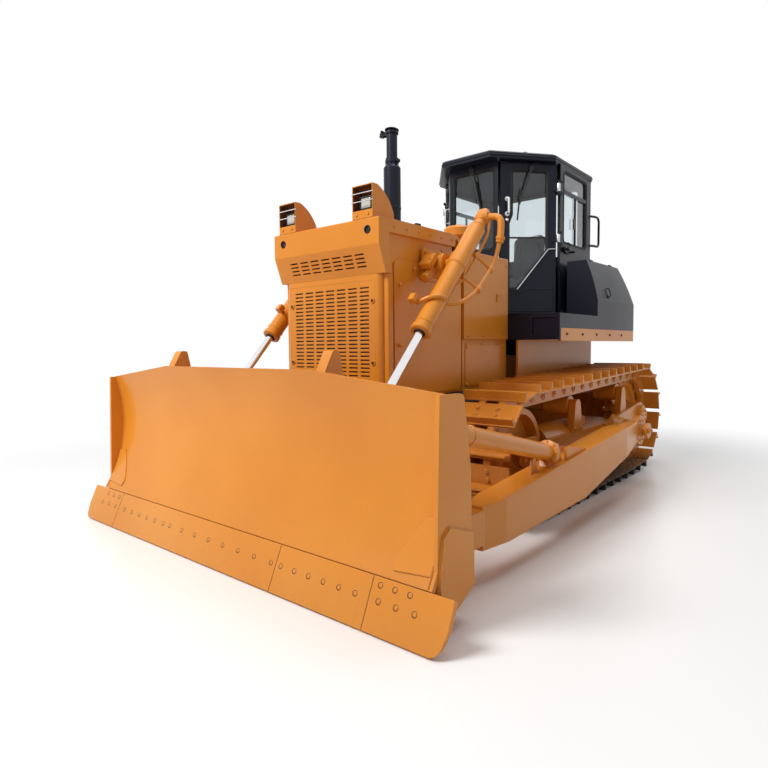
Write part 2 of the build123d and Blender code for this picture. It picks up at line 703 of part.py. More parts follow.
def make_hood_side():
    inner = MASK_HALF + SEAT_GAP
    face = HOOD_HALF - SHEET - SEAT_GAP
    front = CAP_REAR + SEAT_GAP
    panel = box(inner, face, front, SIDE_SPLIT, SIDE_LOW, HOOD_LOW_TOP - SHEET - SEAT_GAP)
    panel += box(inner, face, front, HOOD_STEP[0] - SHEET, SIDE_LOW, HOOD_TOP - SHEET - SEAT_GAP)
    hatch = [(MASK_FRONT + 110, SIDE_LOW + 20), (SIDE_SPLIT - 20, SIDE_LOW + 20),
             (SIDE_SPLIT - 20, HATCH_TOP),
             (MASK_FRONT + 110, HATCH_TOP)]
    panel += side_prism(rounded(hatch, HATCH_ROUND), face, face + HATCH_RAISE)
    cheek = [(inner, front), (HATCH_FACE, front), (HATCH_FACE, front + CHEEK), (inner, front + CHEEK)]
    panel += plan_prism(rounded(cheek, HATCH_RAISE - 2, (1, 2)), SIDE_LOW, MASK_TOP - SEAT_GAP)
    panel += box(HULL_HALF - 40, face, MASK_FRONT + MASK_DEPTH + 15, SIDE_SPLIT - 40, SIDE_LOW,
                 SIDE_LOW + 25)
    panel += box(HULL_HALF - 40, HULL_HALF, -1100, -1000, HULL_RAIL_TOP + SEAT_GAP, SIDE_LOW + 10)
    seam = SIDE_SPLIT + PANEL_GAP
    top = HOOD_LOW_TOP - SHEET - SEAT_GAP
    rear = box(HOOD_HALF - SHEET, HOOD_HALF, seam, HOOD_REAR, SIDE_LEDGE, top)
    lower = box(inner, HOOD_HALF - SHEET + 10, seam, HOOD_REAR, SIDE_LOW, SIDE_LEDGE - SEAT_GAP)
    return panel, rear, lower


def make_lamp_box():
    low = HOOD_TOP + SEAT_GAP
    top = HOOD_TOP + LAMP_HEIGHT
    front = CAP_FRONT + LAMP_BACK
    back = front + LAMP_DEPTH
    profile = make_face([
        Line((front, low), (front, top)),
        Line((front, top), (front + 55, top)),
        ThreePointArc((front + 55, top), (front + 168, top - 74), (back, low + 45)),
        Line((back, low + 45), (back, low)),
        Line((back, low), (front, low)),
    ])
    x0, x1 = LAMP_X[0] + LAMP_SHEET, LAMP_X[1] - LAMP_SHEET
    mouth_low = low + LAMP_MOUTH
    mouth_high = top - LAMP_SHEET
    hollow = side_prism(offset(profile, -LAMP_SHEET), x0, x1)
    hollow += box(x0, x1, front - 1, front + 20, mouth_low, mouth_high)
    lamp_box = side_prism(profile, *LAMP_X) - (hollow & box(x0, x1, front - 1, back, mouth_low, top))
    wide, deep, high = LAMP_SIZE
    middle = (x0 + x1) / 2
    foot = mouth_low + SEAT_GAP
    face = Plane(origin=(middle, front + 45, foot + 14 + high / 2), x_dir=(1, 0, 0), z_dir=(0, -1, 0))
    lamp = extrude(face * RectangleRounded(wide, high, 14), amount=deep, dir=(0, 1, 0))
    lamp += box(middle - 25, middle + 25, front + 60, front + 100, foot, foot + 20)
    # guard rods across the mouth
    rods = []
    for part in (0.36, 0.70):
        z = mouth_low + part * (mouth_high - mouth_low)
        rods.append(rod_x(LAMP_X[0] - 6, LAMP_X[1] + 2, front - GUARD_R - SEAT_GAP, z, GUARD_R))
    return lamp_box, [lamp, *rods]


def make_exhaust():
    low = HOOD_TOP + SEAT_GAP
    profile = [(0, low), (130, low), (130, low + 30), (EXHAUST_R, low + 45),
               (EXHAUST_R, EXHAUST_TOP - 30),
               (PIPE_R + 8, EXHAUST_TOP), (PIPE_R + 8, EXHAUST_TOP + 55), (PIPE_R, EXHAUST_TOP + 55),
               (PIPE_R, PIPE_TOP),
               (PIPE_R - 6, PIPE_TOP), (PIPE_R - 6, EXHAUST_TOP + 60), (0, EXHAUST_TOP + 60)]
    return spun(profile, (0, EXHAUST_Y, 0), (0, 0, 1))


def make_precleaner():
    low = HOOD_LOW_TOP + SEAT_GAP
    profile = [(0, low), (85, low), (85, low + 15), (65, low + 25), (65, CLEANER_TOP - 90),
               (CLEANER_R, CLEANER_TOP - 78),
               (CLEANER_R, CLEANER_TOP - 18), (CLEANER_R - 18, CLEANER_TOP), (0, CLEANER_TOP)]
    return spun(profile, (*CLEANER, 0), (0, 0, 1))


def make_yoke():
    ty, tz = LIFT_T
    base = HATCH_FACE + SEAT_GAP
    end = LIFT_X - LIFT_BARREL_R - 35
    plate = Plane.YZ.offset(base) * (Pos(ty, tz) * RectangleRounded(240, 250, 20))
    yoke = extrude(plate, amount=YOKE_PLATE, dir=(1, 0, 0))
    root = Plane.YZ.offset(base + YOKE_PLATE) * (Pos(ty, tz) * Rectangle(190, 200))
    nose = Plane.YZ.offset(end - 50) * (Pos(ty, tz) * Rectangle(140, 150))
    yoke += loft([root, nose])
    yoke += rod_x(end - 60, end, ty, tz, YOKE_R)
    return yoke - rod_x(LIFT_X - 200, LIFT_X, ty, tz, LIFT_PIN_R)


# Lift cylinders, at rest on their line from trunnion to eye
LIFT_DIR = Vector(0, LIFT_P[0] - LIFT_T[0], LIFT_P[1] - LIFT_T[1]).normalized()
LIFT_PIVOT = Vector(LIFT_X, *LIFT_T)
LIFT_EYE = Vector(LIFT_X, *LIFT_P)


def make_lift_barrel():
    r = LIFT_BARREL_R
    bore = LIFT_ROD_R + PIN_FIT
    neck = LIFT_NECK - LIFT_ABOVE
    profile = [(0, -LIFT_ABOVE), (LIFT_NECK_R - 6, -LIFT_ABOVE), (LIFT_NECK_R, 6 - LIFT_ABOVE),
               (LIFT_NECK_R, neck - 30),
               (r - 12, neck - 14), (r, neck), (r, -60), (r + 9, -52), (r + 9, 52), (r, 60),
               (r, LIFT_BELOW - 44),
               (r + 7, LIFT_BELOW - 40), (r + 7, LIFT_BELOW - 8), (r - 4, LIFT_BELOW),
               (bore, LIFT_BELOW),
               (bore, 25 - LIFT_ABOVE), (0, 25 - LIFT_ABOVE)]
    barrel = spun(profile, LIFT_PIVOT, LIFT_DIR)
    pin = rod_x(LIFT_X - r - 115, LIFT_X - bore - 5, LIFT_T[0], LIFT_T[1], LIFT_PIN_R - PIN_FIT)
    return barrel + pin


def make_lift_rod():
    rod = rod_between(LIFT_EYE, LIFT_EYE - LIFT_DIR * LIFT_ROD, LIFT_ROD_R)
    return rod + rod_x(LIFT_X - EYE_WIDTH / 2, LIFT_X + EYE_WIDTH / 2, LIFT_P[0], LIFT_P[1], EYE_R)


# Blade and what is bolted to it
MOLD_FACE = ThreePointArc((TIP_Y + 120, EDGE_LINE), (TIP_Y + 285, 760), (TIP_Y + 192, BLADE_TOP))


def moldboard_profile():
    back = ThreePointArc((TIP_Y + 214, BLADE_TOP), (TIP_Y + 310, 760), (TIP_Y + 145, EDGE_LINE - 12))
    return make_face([MOLD_FACE, Line(MOLD_FACE @ 1, back @ 0), back, Line(back @ 1, MOLD_FACE @ 0)])


def ahead_of_moldboard():
    """Space ahead of the moldboard's face, kept free of what stiffens it."""
    low = (TIP_Y - 50, EDGE_LINE)
    high = (TIP_Y - 50, BLADE_TOP)
    return make_face([MOLD_FACE, Line(MOLD_FACE @ 1, high), Line(high, low), Line(low, MOLD_FACE @ 0)])


def make_ears():
    """Two lugs for the lift rod's eye and the narrow stay that rises over the top edge."""
    lug = [(TIP_Y + 290, 700), (BLADE_BACK, 700), (LIFT_P[0] + 70, LIFT_P[1] - 70),
           (LIFT_P[0] + 70, LIFT_P[1] + 60),
           (BLADE_BACK + 40, 1130), (TIP_Y + 240, 1180)]
    plate = rounded(lug, 30, (2, 3))
    inner = LIFT_X - EAR_GAP / 2
    outer = LIFT_X + EAR_GAP / 2
    stay = [(TIP_Y + 270, 1000), (TIP_Y + 215, 1225), (TIP_Y + 326, EAR_TOP), (TIP_Y + 376, EAR_TOP),
            (TIP_Y + 432, 1180),
            (TIP_Y + 400, 1000)]
    ears = side_prism(plate, inner - EAR_THICK, inner) + side_prism(plate, outer, outer + EAR_THICK)
    return ears + side_prism(rounded(stay, 22, (2, 3)), LIFT_X - STAY_WIDTH / 2,
                             LIFT_X + STAY_WIDTH / 2)


def make_blade():
    half = BLADE_WIDTH / 2
    mold = extrude(Plane.YZ.offset(-half) * moldboard_profile(), amount=BLADE_WIDTH, dir=(1, 0, 0))
    face = [(-half, 0), (half, 0), (half, BLADE_END_TOP), (BLADE_FLAT / 2, BLADE_TOP),
            (-BLADE_FLAT / 2, BLADE_TOP),
            (-half, BLADE_END_TOP)]
    mold &= front_prism(face, TIP_Y - 10, TIP_Y + 600)
    low = [(TIP_Y + 139.5, 250), (TIP_Y + 86.7, 131), (TIP_Y + 250, 120), (BLADE_BACK, 190),
           (BLADE_BACK, 560), (TIP_Y + 290, 600)]
    high = [(TIP_Y + 270, 930), (BLADE_BACK - 20, 900), (BLADE_BACK - 60, 1160), (TIP_Y + 240, 1190)]
    beam = half - BLADE_SIDE
    backing = side_prism(low, -beam, beam) + side_prism(high, -beam, beam)
    rib = [(TIP_Y + 290, 590), (BLADE_BACK, 550), (BLADE_BACK - 20, 910), (TIP_Y + 290, 940)]
    for rib_x in (LIFT_X - 350, LIFT_X + 370):
        plate = side_prism(rib, rib_x - 12, rib_x + 12)
        backing += plate + flip(plate)
    ears = make_ears()
    backing += ears + flip(ears)
    blade = mold + (backing - side_prism(ahead_of_moldboard(), -half, half))
    side = [(TIP_Y + 165, 255), (TIP_Y + 192, BLADE_END_TOP - 1), (TIP_Y + 403, BLADE_END_TOP - 5),
            (BLADE_BACK, 800),
            (BLADE_BACK + 15, 180), (TIP_Y + 292, 85), (TIP_Y + 170, 210)]
    doubler = [(TIP_Y + 172, 265), (TIP_Y + 205, 505), (TIP_Y + 262, 545), (BLADE_BACK + 8, 470),
               (BLADE_BACK + 12, 190),
               (TIP_Y + 292, 95), (TIP_Y + 180, 215)]
    left = side_prism(rounded(side, 30, (2, 3)), beam, half) + side_prism(doubler, half, half + DOUBLER)
    left += box(ARM_X - 80, ARM_X + 80, TIP_Y + 300, BLADE_BACK, TILT_FRONT[1] - 80, TILT_FRONT[1] + 80)
    return blade + left + flip(left)


def make_edge():
    profile = [(TIP_Y, EDGE_LIFT), (TIP_Y + 32, EDGE_LIFT), (TIP_Y + 139, EDGE_LINE - 12),
               (TIP_Y + 112, EDGE_LINE)]
    seam = EDGE_SEAM / 2
    inner = EDGE_MIDDLE / 2
    outer = EDGE_WIDTH / 2
    middle = side_prism(profile, -seam + SEAT_GAP, seam - SEAT_GAP)
    beside = side_prism(profile, seam, inner - SEAT_GAP)
    shape = [(inner, EDGE_LIFT), (outer - 30, EDGE_LIFT), (outer, EDGE_LIFT + 120), (outer, EDGE_LINE),
             (inner, EDGE_LINE)]
    bit = side_prism(profile, inner, outer) & front_prism(rounded(shape, EDGE_ROUND, (1, 2)),
                                                          TIP_Y - 10, TIP_Y + 400)
    return middle, beside, flip(beside), bit, flip(bit)


ARM_FRONT = TIP_Y + 860
ARM_TOP_FRONT = (ARM_FRONT, 487)
ARM_TOP_KINK = (TRUNNION_Y - 890, 692)


def arm_top_z(y):
    part = (y - ARM_TOP_FRONT[0]) / (ARM_TOP_KINK[0] - ARM_TOP_FRONT[0])
    return ARM_TOP_FRONT[1] + part * (ARM_TOP_KINK[1] - ARM_TOP_FRONT[1])


def arm_body(front_y):
    """Box-section arm: straight to the kink, then narrowing to the socket on the trunnion."""
    x0 = TRUNNION_X - SOCKET_WIDTH / 2
    x1 = TRUNNION_X + SOCKET_WIDTH / 2
    kink = TRUNNION_Y - 860
    profile = [(front_y, 222), (-430, 255), (kink, 427), (TRUNNION_Y, TRUNNION_Z - 100),
               (TRUNNION_Y, TRUNNION_Z + 100),
               ARM_TOP_KINK, (front_y, arm_top_z(front_y))]
    plan = [(ARM_INSIDE + 40, front_y), (ARM_OUTSIDE - 40, front_y), (ARM_OUTSIDE, front_y + 220),
            (ARM_OUTSIDE, kink),
            (x1, TRUNNION_Y - 100), (x1, TRUNNION_Y), (x0, TRUNNION_Y), (x0, TRUNNION_Y - 100),
            (ARM_INSIDE, kink),
            (ARM_INSIDE, front_y + 220)]
    arm = side_prism(profile, ARM_INSIDE, ARM_OUTSIDE) & plan_prism(plan, 0, 1000)
    arm += rod_x(x0, x1, TRUNNION_Y, TRUNNION_Z, SOCKET_R)
    return arm - rod_x(x0 - 1, x1 + 1, TRUNNION_Y, TRUNNION_Z, BALL_R + PIN_FIT)


def make_left_arm():
    arm = arm_body(ARM_FRONT)
    return arm + box(ARM_INSIDE + 30, ARM_OUTSIDE - 30, BLADE_BACK + SEAT_GAP, ARM_FRONT + 10, 260, 470)


def make_right_arm():
    arm = arm_body(ARM_FRONT + 40)
    arm += box(ARM_X - 60, ARM_X + 60, ARM_FRONT - 100, ARM_FRONT + 50, 280, 450)
    y, z = TILT_REAR
    lug = Polygon((y - 70, arm_top_z(y) - 60), (y + 110, arm_top_z(y) - 60), (y + 50, z), (y - 50, z),
                  align=None)
    lug += Pos(y, z) * Circle(50)
    for x in (ARM_X - 75, ARM_X + 50):
        arm += side_prism(lug, x, x + 25)
    arm += rod_x(ARM_X - 75, ARM_X + 75, y, z, TILT_PIN_R)
    return flip(arm)


def make_trunnion_balls():
    ball = Pos(TRUNNION_X, TRUNNION_Y, TRUNNION_Z) * Rot(0, 90, 0) * Sphere(BALL_R)
    ball &= box(TRUNNION_X - 50, TRUNNION_X + 50, TRUNNION_Y - 200, TRUNNION_Y + 200, 0, 1000)
    ball -= rod_x(TRUNNION_X - 200, TRUNNION_X + 200, TRUNNION_Y, TRUNNION_Z, TRUNNION_PIN_R + PIN_FIT)
    return ball, flip(ball)


TILT_LINE = Vector(0, TILT_FRONT[0] - TILT_REAR[0], TILT_FRONT[1] - TILT_REAR[1])
TILT_DIR = TILT_LINE.normalized()


def make_brace():
    y0, z0 = TILT_REAR
    y1, z1 = TILT_FRONT
    length = TILT_LINE.length
    r = BRACE_R
    profile = [(0, 0), (r, 0), (r, 40), (r + 28, 45), (r + 28, 85), (r, 90), (r, length - 90),
               (r + 18, length - 80),
               (r + 18, length - 30), (r, length - 20), (r, length), (0, length)]
    brace = spun(profile, (ARM_X, y0, z0), TILT_DIR)
    brace += box(ARM_X - 45, ARM_X + 45, BLADE_BACK + SEAT_GAP, y1 + 60, z1 - 70, z1 + 70)
    low = [(y0 + step, arm_top_z(y0 + step) + SEAT_GAP) for step in (-120, 90)]
    brace += side_prism(low + [(y0 + 40, z0 + 70), (y0 - 40, z0 + 70)], ARM_X - 40, ARM_X + 40)
    under = [(y0 - 300, arm_top_z(y0 - 300)), (y0 - 300, 0), (y0 + 300, 0),
             (y0 + 300, arm_top_z(y0 + 300))]
    return brace - side_prism(under, ARM_INSIDE, ARM_OUTSIDE)


def make_tilt_cylinder():
    rear = Vector(-ARM_X, *TILT_REAR)
    front = Vector(-ARM_X, *TILT_FRONT)
    r = TILT_BARREL_R
    bore = TILT_ROD_R + PIN_FIT
    gland = TILT_LINE.length - 330
    profile = [(0, 0), (40, 0), (40, 95), (r, 95), (r, gland - 80), (r + 10, gland - 74),
               (r + 10, gland - 10), (r, gland),
               (bore, gland), (bore, 130), (0, 130)]
    barrel = spun(profile, rear, TILT_DIR) + rod_x(-ARM_X - 48, -ARM_X + 48, *TILT_REAR, 52)
    barrel -= rod_x(-ARM_X - 60, -ARM_X + 60, *TILT_REAR, TILT_PIN_R + PIN_FIT)
    rod = rod_between(rear + TILT_DIR * 480, front, TILT_ROD_R)
    return barrel, rod + rod_x(-ARM_X - 30, -ARM_X + 30, *TILT_FRONT, 60)


# Cab: walls between plan corners, each as thick as the wall
def inset_corner(a, b, c, depth):
    """Corner b moved inwards by depth from both walls that meet there."""
    lines = []
    for p, q in ((a, b), (b, c)):
        span = math.dist(p, q)
        normal = ((p[1] - q[1]) / span, (q[0] - p[0]) / span)
        lines.append((normal, p[0] * normal[0] + p[1] * normal[1] + depth))
    (n, c1), (m, c2) = lines
    cross = n[0] * m[1] - n[1] * m[0]
    return ((c1 * m[1] - c2 * n[1]) / cross, (c2 * n[0] - c1 * m[0]) / cross)


def wall_plane(a, b):
    """Plane of a wall's face: x along the wall, y up, z into the cab."""
    span = math.dist(a, b)
    along = ((b[0] - a[0]) / span, (b[1] - a[1]) / span)
    return Plane(origin=(*a, 0), x_dir=(*along, 0), z_dir=(along[1], -along[0], 0))


def right_of(corner):
    return (-corner[0], corner[1])


F, M, R = CAB_F, CAB_M, CAB_R
F_IN = inset_corner(right_of(F), F, M, CAB_WALL)
M_IN = inset_corner(F, M, R, CAB_WALL)
R_IN = inset_corner(M, R, right_of(R), CAB_WALL)
WALL_LOW = DECK_TOP + FLOOR_THICK + SEAT_GAP
WALL_TOP = ROOF_LOW - SEAT_GAP
DOOR_PLANE = wall_plane(M, F)
SIDE_PLANE = wall_plane(R, M)
FRONT_PLANE = wall_plane(F, right_of(F))
REAR_PLANE = wall_plane(right_of(R), R)
DOOR_END = math.dist(M, F) - DOOR_EDGE
SIDE_SPAN = math.dist(R, M)


def door_point(along, deep, z=0):
    """Place on the door by its distance from the hinge corner and its depth behind the face."""
    return DOOR_PLANE.from_local_coords((along, z, deep))


def door_plan(*places):
    """Plan polygon from (along, deep) places on the door."""
    return [(p.X, p.Y) for p in (door_point(*place) for place in places)]


HINGE = door_point(30, -DOOR_HINGE_OUT)


def cut_window(wall, plane, window):
    return wall - extrude(plane * window, amount=CAB_WALL * 2, both=True)


def pane(plane, window):
    return extrude(plane.offset(GLASS_BACK) * offset(window, -SEAT_GAP), amount=GLASS_THICK)


def window_box(x0, x1, z0, z1):
    return Pos((x0 + x1) / 2, (z0 + z1) / 2) * RectangleRounded(x1 - x0, z1 - z0, WINDOW_ROUND)


def make_door():
    slab = Polygon((45, WALL_LOW + DOOR_GAP), (DOOR_END, WALL_LOW + DOOR_GAP),
                   (DOOR_END, WALL_TOP - DOOR_GAP),
                   (45, WALL_TOP - DOOR_GAP), align=None)
    step = DOOR_END - 125
    window = rounded([(145, WALL_TOP - 85), (145, 2430), (474, 2025), (DOOR_END - 90, 2025),
                      (DOOR_END - 90, 2700),
                      (step, 2790), (step, WALL_TOP - 85)], 35)
    door = extrude(DOOR_PLANE * (slab - window), amount=CAB_WALL)
    for z in HINGE_ZS:
        tab = door_plan((30, -DOOR_HINGE_OUT - 8), (90, -8), (90, 0), (45, 0), (30, 8 - DOOR_HINGE_OUT))
        door += plan_prism(tab, z - HINGE_HALF, z + HINGE_HALF)
        door += rod_z(HINGE.X, HINGE.Y, z - HINGE_HALF, z + HINGE_HALF, 2 * HINGE_PIN_R)
        door -= rod_z(HINGE.X, HINGE.Y, z - HINGE_HALF - 20, z + HINGE_HALF + 20, HINGE_PIN_R)
    grip = DOOR_END - 70
    low, high = HANDLE_Z
    door += tube([door_point(grip, 5, low), door_point(grip, -45, low), door_point(grip, -45, high),
                  door_point(grip, 5, high)],
                 11, 20)
    return door, pane(DOOR_PLANE, window)


def make_cab_side():
    wall = plan_prism([M, R, R_IN, M_IN], WALL_LOW, WALL_TOP)
    near, far = SIDE_WINDOW
    low, high = SIDE_WINDOW_Z
    window = window_box(SIDE_SPAN - far, SIDE_SPAN - near, low, high)
    wall = cut_window(wall, SIDE_PLANE, window)
    # bars across the outside of the sliding window
    lap = 5
    bars = Pos(SIDE_SPAN - (near + far) / 2, sum(SIDE_RAIL_Z) / 2) * Rectangle(
        far - near + 2 * lap, SIDE_RAIL_Z[1] - SIDE_RAIL_Z[0])
    bar_top = SIDE_RAIL_Z[0] + lap
    bars += Pos(SIDE_SPAN - sum(SIDE_BAR) / 2, (low - lap + bar_top) / 2) * Rectangle(
        SIDE_BAR[1] - SIDE_BAR[0], bar_top - low + lap)
    wall += extrude(SIDE_PLANE * bars, amount=GLASS_BACK - SEAT_GAP)
    wall -= plan_prism(door_plan((0, -1), (33, -1), (33, 80), (0, 80)), WALL_LOW - 1, WALL_TOP + 1)
    for z in HINGE_ZS:
        pin_half = HINGE_HALF + 35
        wall += rod_z(HINGE.X, HINGE.Y, z - pin_half, z + pin_half, HINGE_PIN_R - 0.6)
        lug = door_plan((-20, 6), (30, 10 - DOOR_HINGE_OUT), (36, -DOOR_HINGE_OUT),
                        (30, -DOOR_HINGE_OUT - 12), (-20, -8))
        wall += plan_prism(lug, z - pin_half, z - HINGE_HALF - PANEL_GAP)
        wall += plan_prism(lug, z + HINGE_HALF + PANEL_GAP, z + pin_half)
    # grab rail at the rear corner
    rail_x = R[0] + GRAB_OUT
    root_x = R[0] - CAB_WALL / 4
    root_y = R[1] - CAB_WALL - 15
    bend_y = R[1] + 50
    out_y = R[1] + GRAB_REACH
    low, high = GRAB_Z
    wall += tube([(root_x, root_y, high), (rail_x, bend_y, high), (rail_x, out_y, high),
                  (rail_x, out_y, low), (rail_x, bend_y, low), (root_x, root_y, low)], GRAB_R, GRAB_BEND)
    return wall, pane(SIDE_PLANE, window)


def make_cab_front():
    wall = plan_prism([right_of(F), F, F_IN, right_of(F_IN)], WALL_LOW, WALL_TOP)
    window = window_box(F[0] - FRONT_WINDOW_HALF, F[0] + FRONT_WINDOW_HALF, *FRONT_WINDOW_Z)
    return cut_window(wall, FRONT_PLANE, window), pane(FRONT_PLANE, window)


def make_cab_rear():
    wall = plan_prism([R, right_of(R), right_of(R_IN), R_IN], WALL_LOW, WALL_TOP)
    window = window_box(R[0] - REAR_WINDOW_HALF, R[0] + REAR_WINDOW_HALF, *REAR_WINDOW_Z)
    return cut_window(wall, REAR_PLANE, window), pane(REAR_PLANE, window)


def make_roof():
    nose = (F[0] - 7, F[1] - ROOF_NOSE)
    hip = (M[0], M[1] - ROOF_HIP)
    tail = (R[0] + 6, R[1] + ROOF_TAIL)
    plan = Polygon(right_of(nose), nose, hip, tail, right_of(tail), right_of(hip), align=None)
    rim = plan_prism(plan, ROOF_LOW, ROOF_TOP - ROOF_CROWN)
    return rim + extrude(Plane.XY.offset(ROOF_TOP - ROOF_CROWN) * plan, amount=ROOF_CROWN, taper=60)


def make_floor():
    points = [right_of(F), F, M, R, right_of(R), right_of(M)]
    return plan_prism(points, DECK_TOP + SEAT_GAP, DECK_TOP + FLOOR_THICK)


def make_platform():
    rear = R[1] + TANK_GAP
    low = DECK_TOP - PLATFORM_THICK
    top = box(-PLATFORM_HALF, PLATFORM_HALF, HOOD_REAR + 10, rear, low, DECK_TOP)
    leg = box(CASE_HALF - 40, CASE_HALF - 10, CASE_FRONT, rear, CASE_TOP + SEAT_GAP, low - SEAT_GAP)
    return top, leg, flip(leg)


def make_cowl():
    wide = HOOD_HALF - 30
    front = HOOD_REAR + SEAT_GAP
    rear = F[1] - SEAT_GAP
    plan = [(-wide, front), (wide, front), (F[0] - 10, rear), (10 - F[0], rear)]
    return plan_prism(plan, DECK_TOP + SEAT_GAP, HOOD_LOW_TOP)


# Fender decks, tank and boxes beside the cab
def make_deck():
    inside = PLATFORM_HALF + SEAT_GAP
    rear = TANK_REAR - TANK_DEPTH
    deck = box(inside, DECK_HALF, DECK_FRONT, rear, DECK_LOW, DECK_TOP)
    deck += box(inside, DECK_HALF, DECK_FRONT, DECK_FRONT + 30, DECK_FACE_LOW, DECK_TOP)
    recess = Pos(DECK_HALF - 155, (DECK_FACE_LOW + DECK_TOP) / 2) * RectangleRounded(240, 180, 15)
    return deck - front_prism(recess, DECK_FRONT - 1, DECK_FRONT + 10)


def make_skirt():
    band = box(DECK_HALF - 30, DECK_HALF, DECK_FRONT + 30 + SEAT_GAP, TANK_REAR, SKIRT_LOW,
               DECK_LOW - SEAT_GAP)
    front = DECK_FRONT + 30 + SEAT_GAP
    wall = [(front, INNER_WALL_LOW), (INNER_WALL_REAR, INNER_WALL_LOW),
            (INNER_WALL_REAR, DECK_LOW - SEAT_GAP),
            (front, DECK_LOW - SEAT_GAP)]
    return band, side_prism(rounded(wall, INNER_WALL_ROUND, (1,)), *INNER_WALL)


def shoulder_section(inside, low):
    """Half section of box and tank: upright to the shoulder, then rounding in to the top."""
    top = (TANK_TOP_HALF, TANK_TOP)
    shoulder = (DECK_HALF, TANK_SHOULDER)
    bulge = ((top[0] + shoulder[0]) / 2 + TANK_BULGE, (top[1] + shoulder[1]) / 2)
    edges = [Line((inside, low), (DECK_HALF, low)), Line((DECK_HALF, low), shoulder),
             ThreePointArc(shoulder, bulge, top),
             Line(top, (inside, TANK_TOP)), Line((inside, TANK_TOP), (inside, low))]
    return make_face(edges)


def make_side_box():
    rear = TANK_REAR - TANK_DEPTH
    return front_prism(shoulder_section(BOX_INSIDE, DECK_TOP + SEAT_GAP), rear - BOX_LENGTH, rear)


def make_tank():
    front = TANK_REAR - TANK_DEPTH + SEAT_GAP
    section = shoulder_section(0, DECK_LOW)
    tank = front_prism(section, front, TANK_REAR)
    tank += flip(tank)
    profile = [(front, DECK_LOW), (TANK_REAR, DECK_LOW), (TANK_REAR, TANK_SHOULDER),
               (TANK_REAR - TANK_SLOPE, TANK_TOP),
               (front, TANK_TOP)]
    tank &= side_prism(profile, -DECK_HALF, DECK_HALF)
    half = CASE_HALF
    return tank + box(-half, half, front, TANK_REAR - 40, CASE_TOP + SEAT_GAP, DECK_LOW)


def make_seat():
    z0 = DECK_TOP + FLOOR_THICK + SEAT_GAP
    back = R[1] - 140
    base = box(-190, 190, back - 430, back - 40, z0, z0 + 330)
    cushion = plan_prism(Pos(0, back - 250) * RectangleRounded(500, 500, 60), z0 + 330, z0 + 470)
    rest = [(back - 100, z0 + 470), (back, z0 + 470), (back + 70, z0 + 1060), (back - 20, z0 + 1060)]
    return base + cushion + side_prism(rounded(rest, 30, (2, 3)), -240, 240)


def make_consoles():
    z0 = DECK_TOP + FLOOR_THICK + SEAT_GAP
    rear = R[1] - 150
    front = rear - 600
    shape = [(front, z0), (rear, z0), (rear, z0 + 560), (front + 60, z0 + 560), (front, z0 + 500)]
    console = side_prism(rounded(shape, 30, (2, 3)), 330, 500)
    return console + rod_between((415, front + 110, z0 + 555), (400, front + 50, z0 + 800), 16)


os.makedirs("parts", exist_ok=True)
carrier_rollers, carrier_posts = make_carriers()
save_pair("track", make_track())
save_both("sprockets", make_sprocket())
save_both("idlers", make_idler())
save_both("track_rollers", *make_rollers())
save_both("carrier_rollers", *carrier_rollers)
save_pair("track_frame", make_track_frame(carrier_posts))
save_both("final_drives", make_final_drive())
save_both("hull_rails", make_hull())
save("belly_guard", make_belly())
save("rear_case", make_case())
save("drawbar", make_drawbar())
save_both("equalizer_bars", make_equalizer())
save("engine_block", make_engine())
save("radiator", make_radiator())
save("radiator_mask", make_mask())
save("radiator_grille", make_grille())
save("hood_cap", make_cap())
save("hood_top", make_hood_top())
save_both("hood_sides", *make_hood_side())
lamp_box, lamp = make_lamp_box()
save_both("lamp_boxes", lamp_box)
save_both("lamps", *lamp)
save("exhaust", make_exhaust())
save("precleaner", make_precleaner())
save_both("lift_yokes", make_yoke())
save_pair("lift_barrel", make_lift_barrel())
save_pair("lift_rod", make_lift_rod())
save("blade", make_blade())
save("cutting_edge", *make_edge())
save("push_arm_left", make_left_arm())
save("push_arm_right", make_right_arm())
save("trunnion_balls", *make_trunnion_balls())
save("brace", make_brace())
tilt_barrel, tilt_rod = make_tilt_cylinder()
save("tilt_barrel", tilt_barrel)
save("tilt_rod", tilt_rod)
door, door_glass = make_door()
save_pair("door", door)
save_pair("door_glass", door_glass)
cab_side, side_glass = make_cab_side()
save_both("cab_sides", cab_side)
cab_front, front_glass = make_cab_front()
cab_rear, rear_glass = make_cab_rear()
save("cab_front", cab_front)
save("cab_rear", cab_rear)
save("cab_glass", side_glass, flip(side_glass), front_glass, rear_glass)
save("cab_roof", make_roof())
save("cab_floor", make_floor())
save("platform", *make_platform())
save("cowl", make_cowl())
save_both("fender_decks", make_deck())
save_both("fender_skirts", *make_skirt())
save_both("side_boxes", make_side_box())
save("fuel_tank", make_tank())
save("seat", make_seat())
save_both("consoles", make_consoles())
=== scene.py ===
import json
import math
import bmesh
import bpy
from mathutils import Matrix, Vector


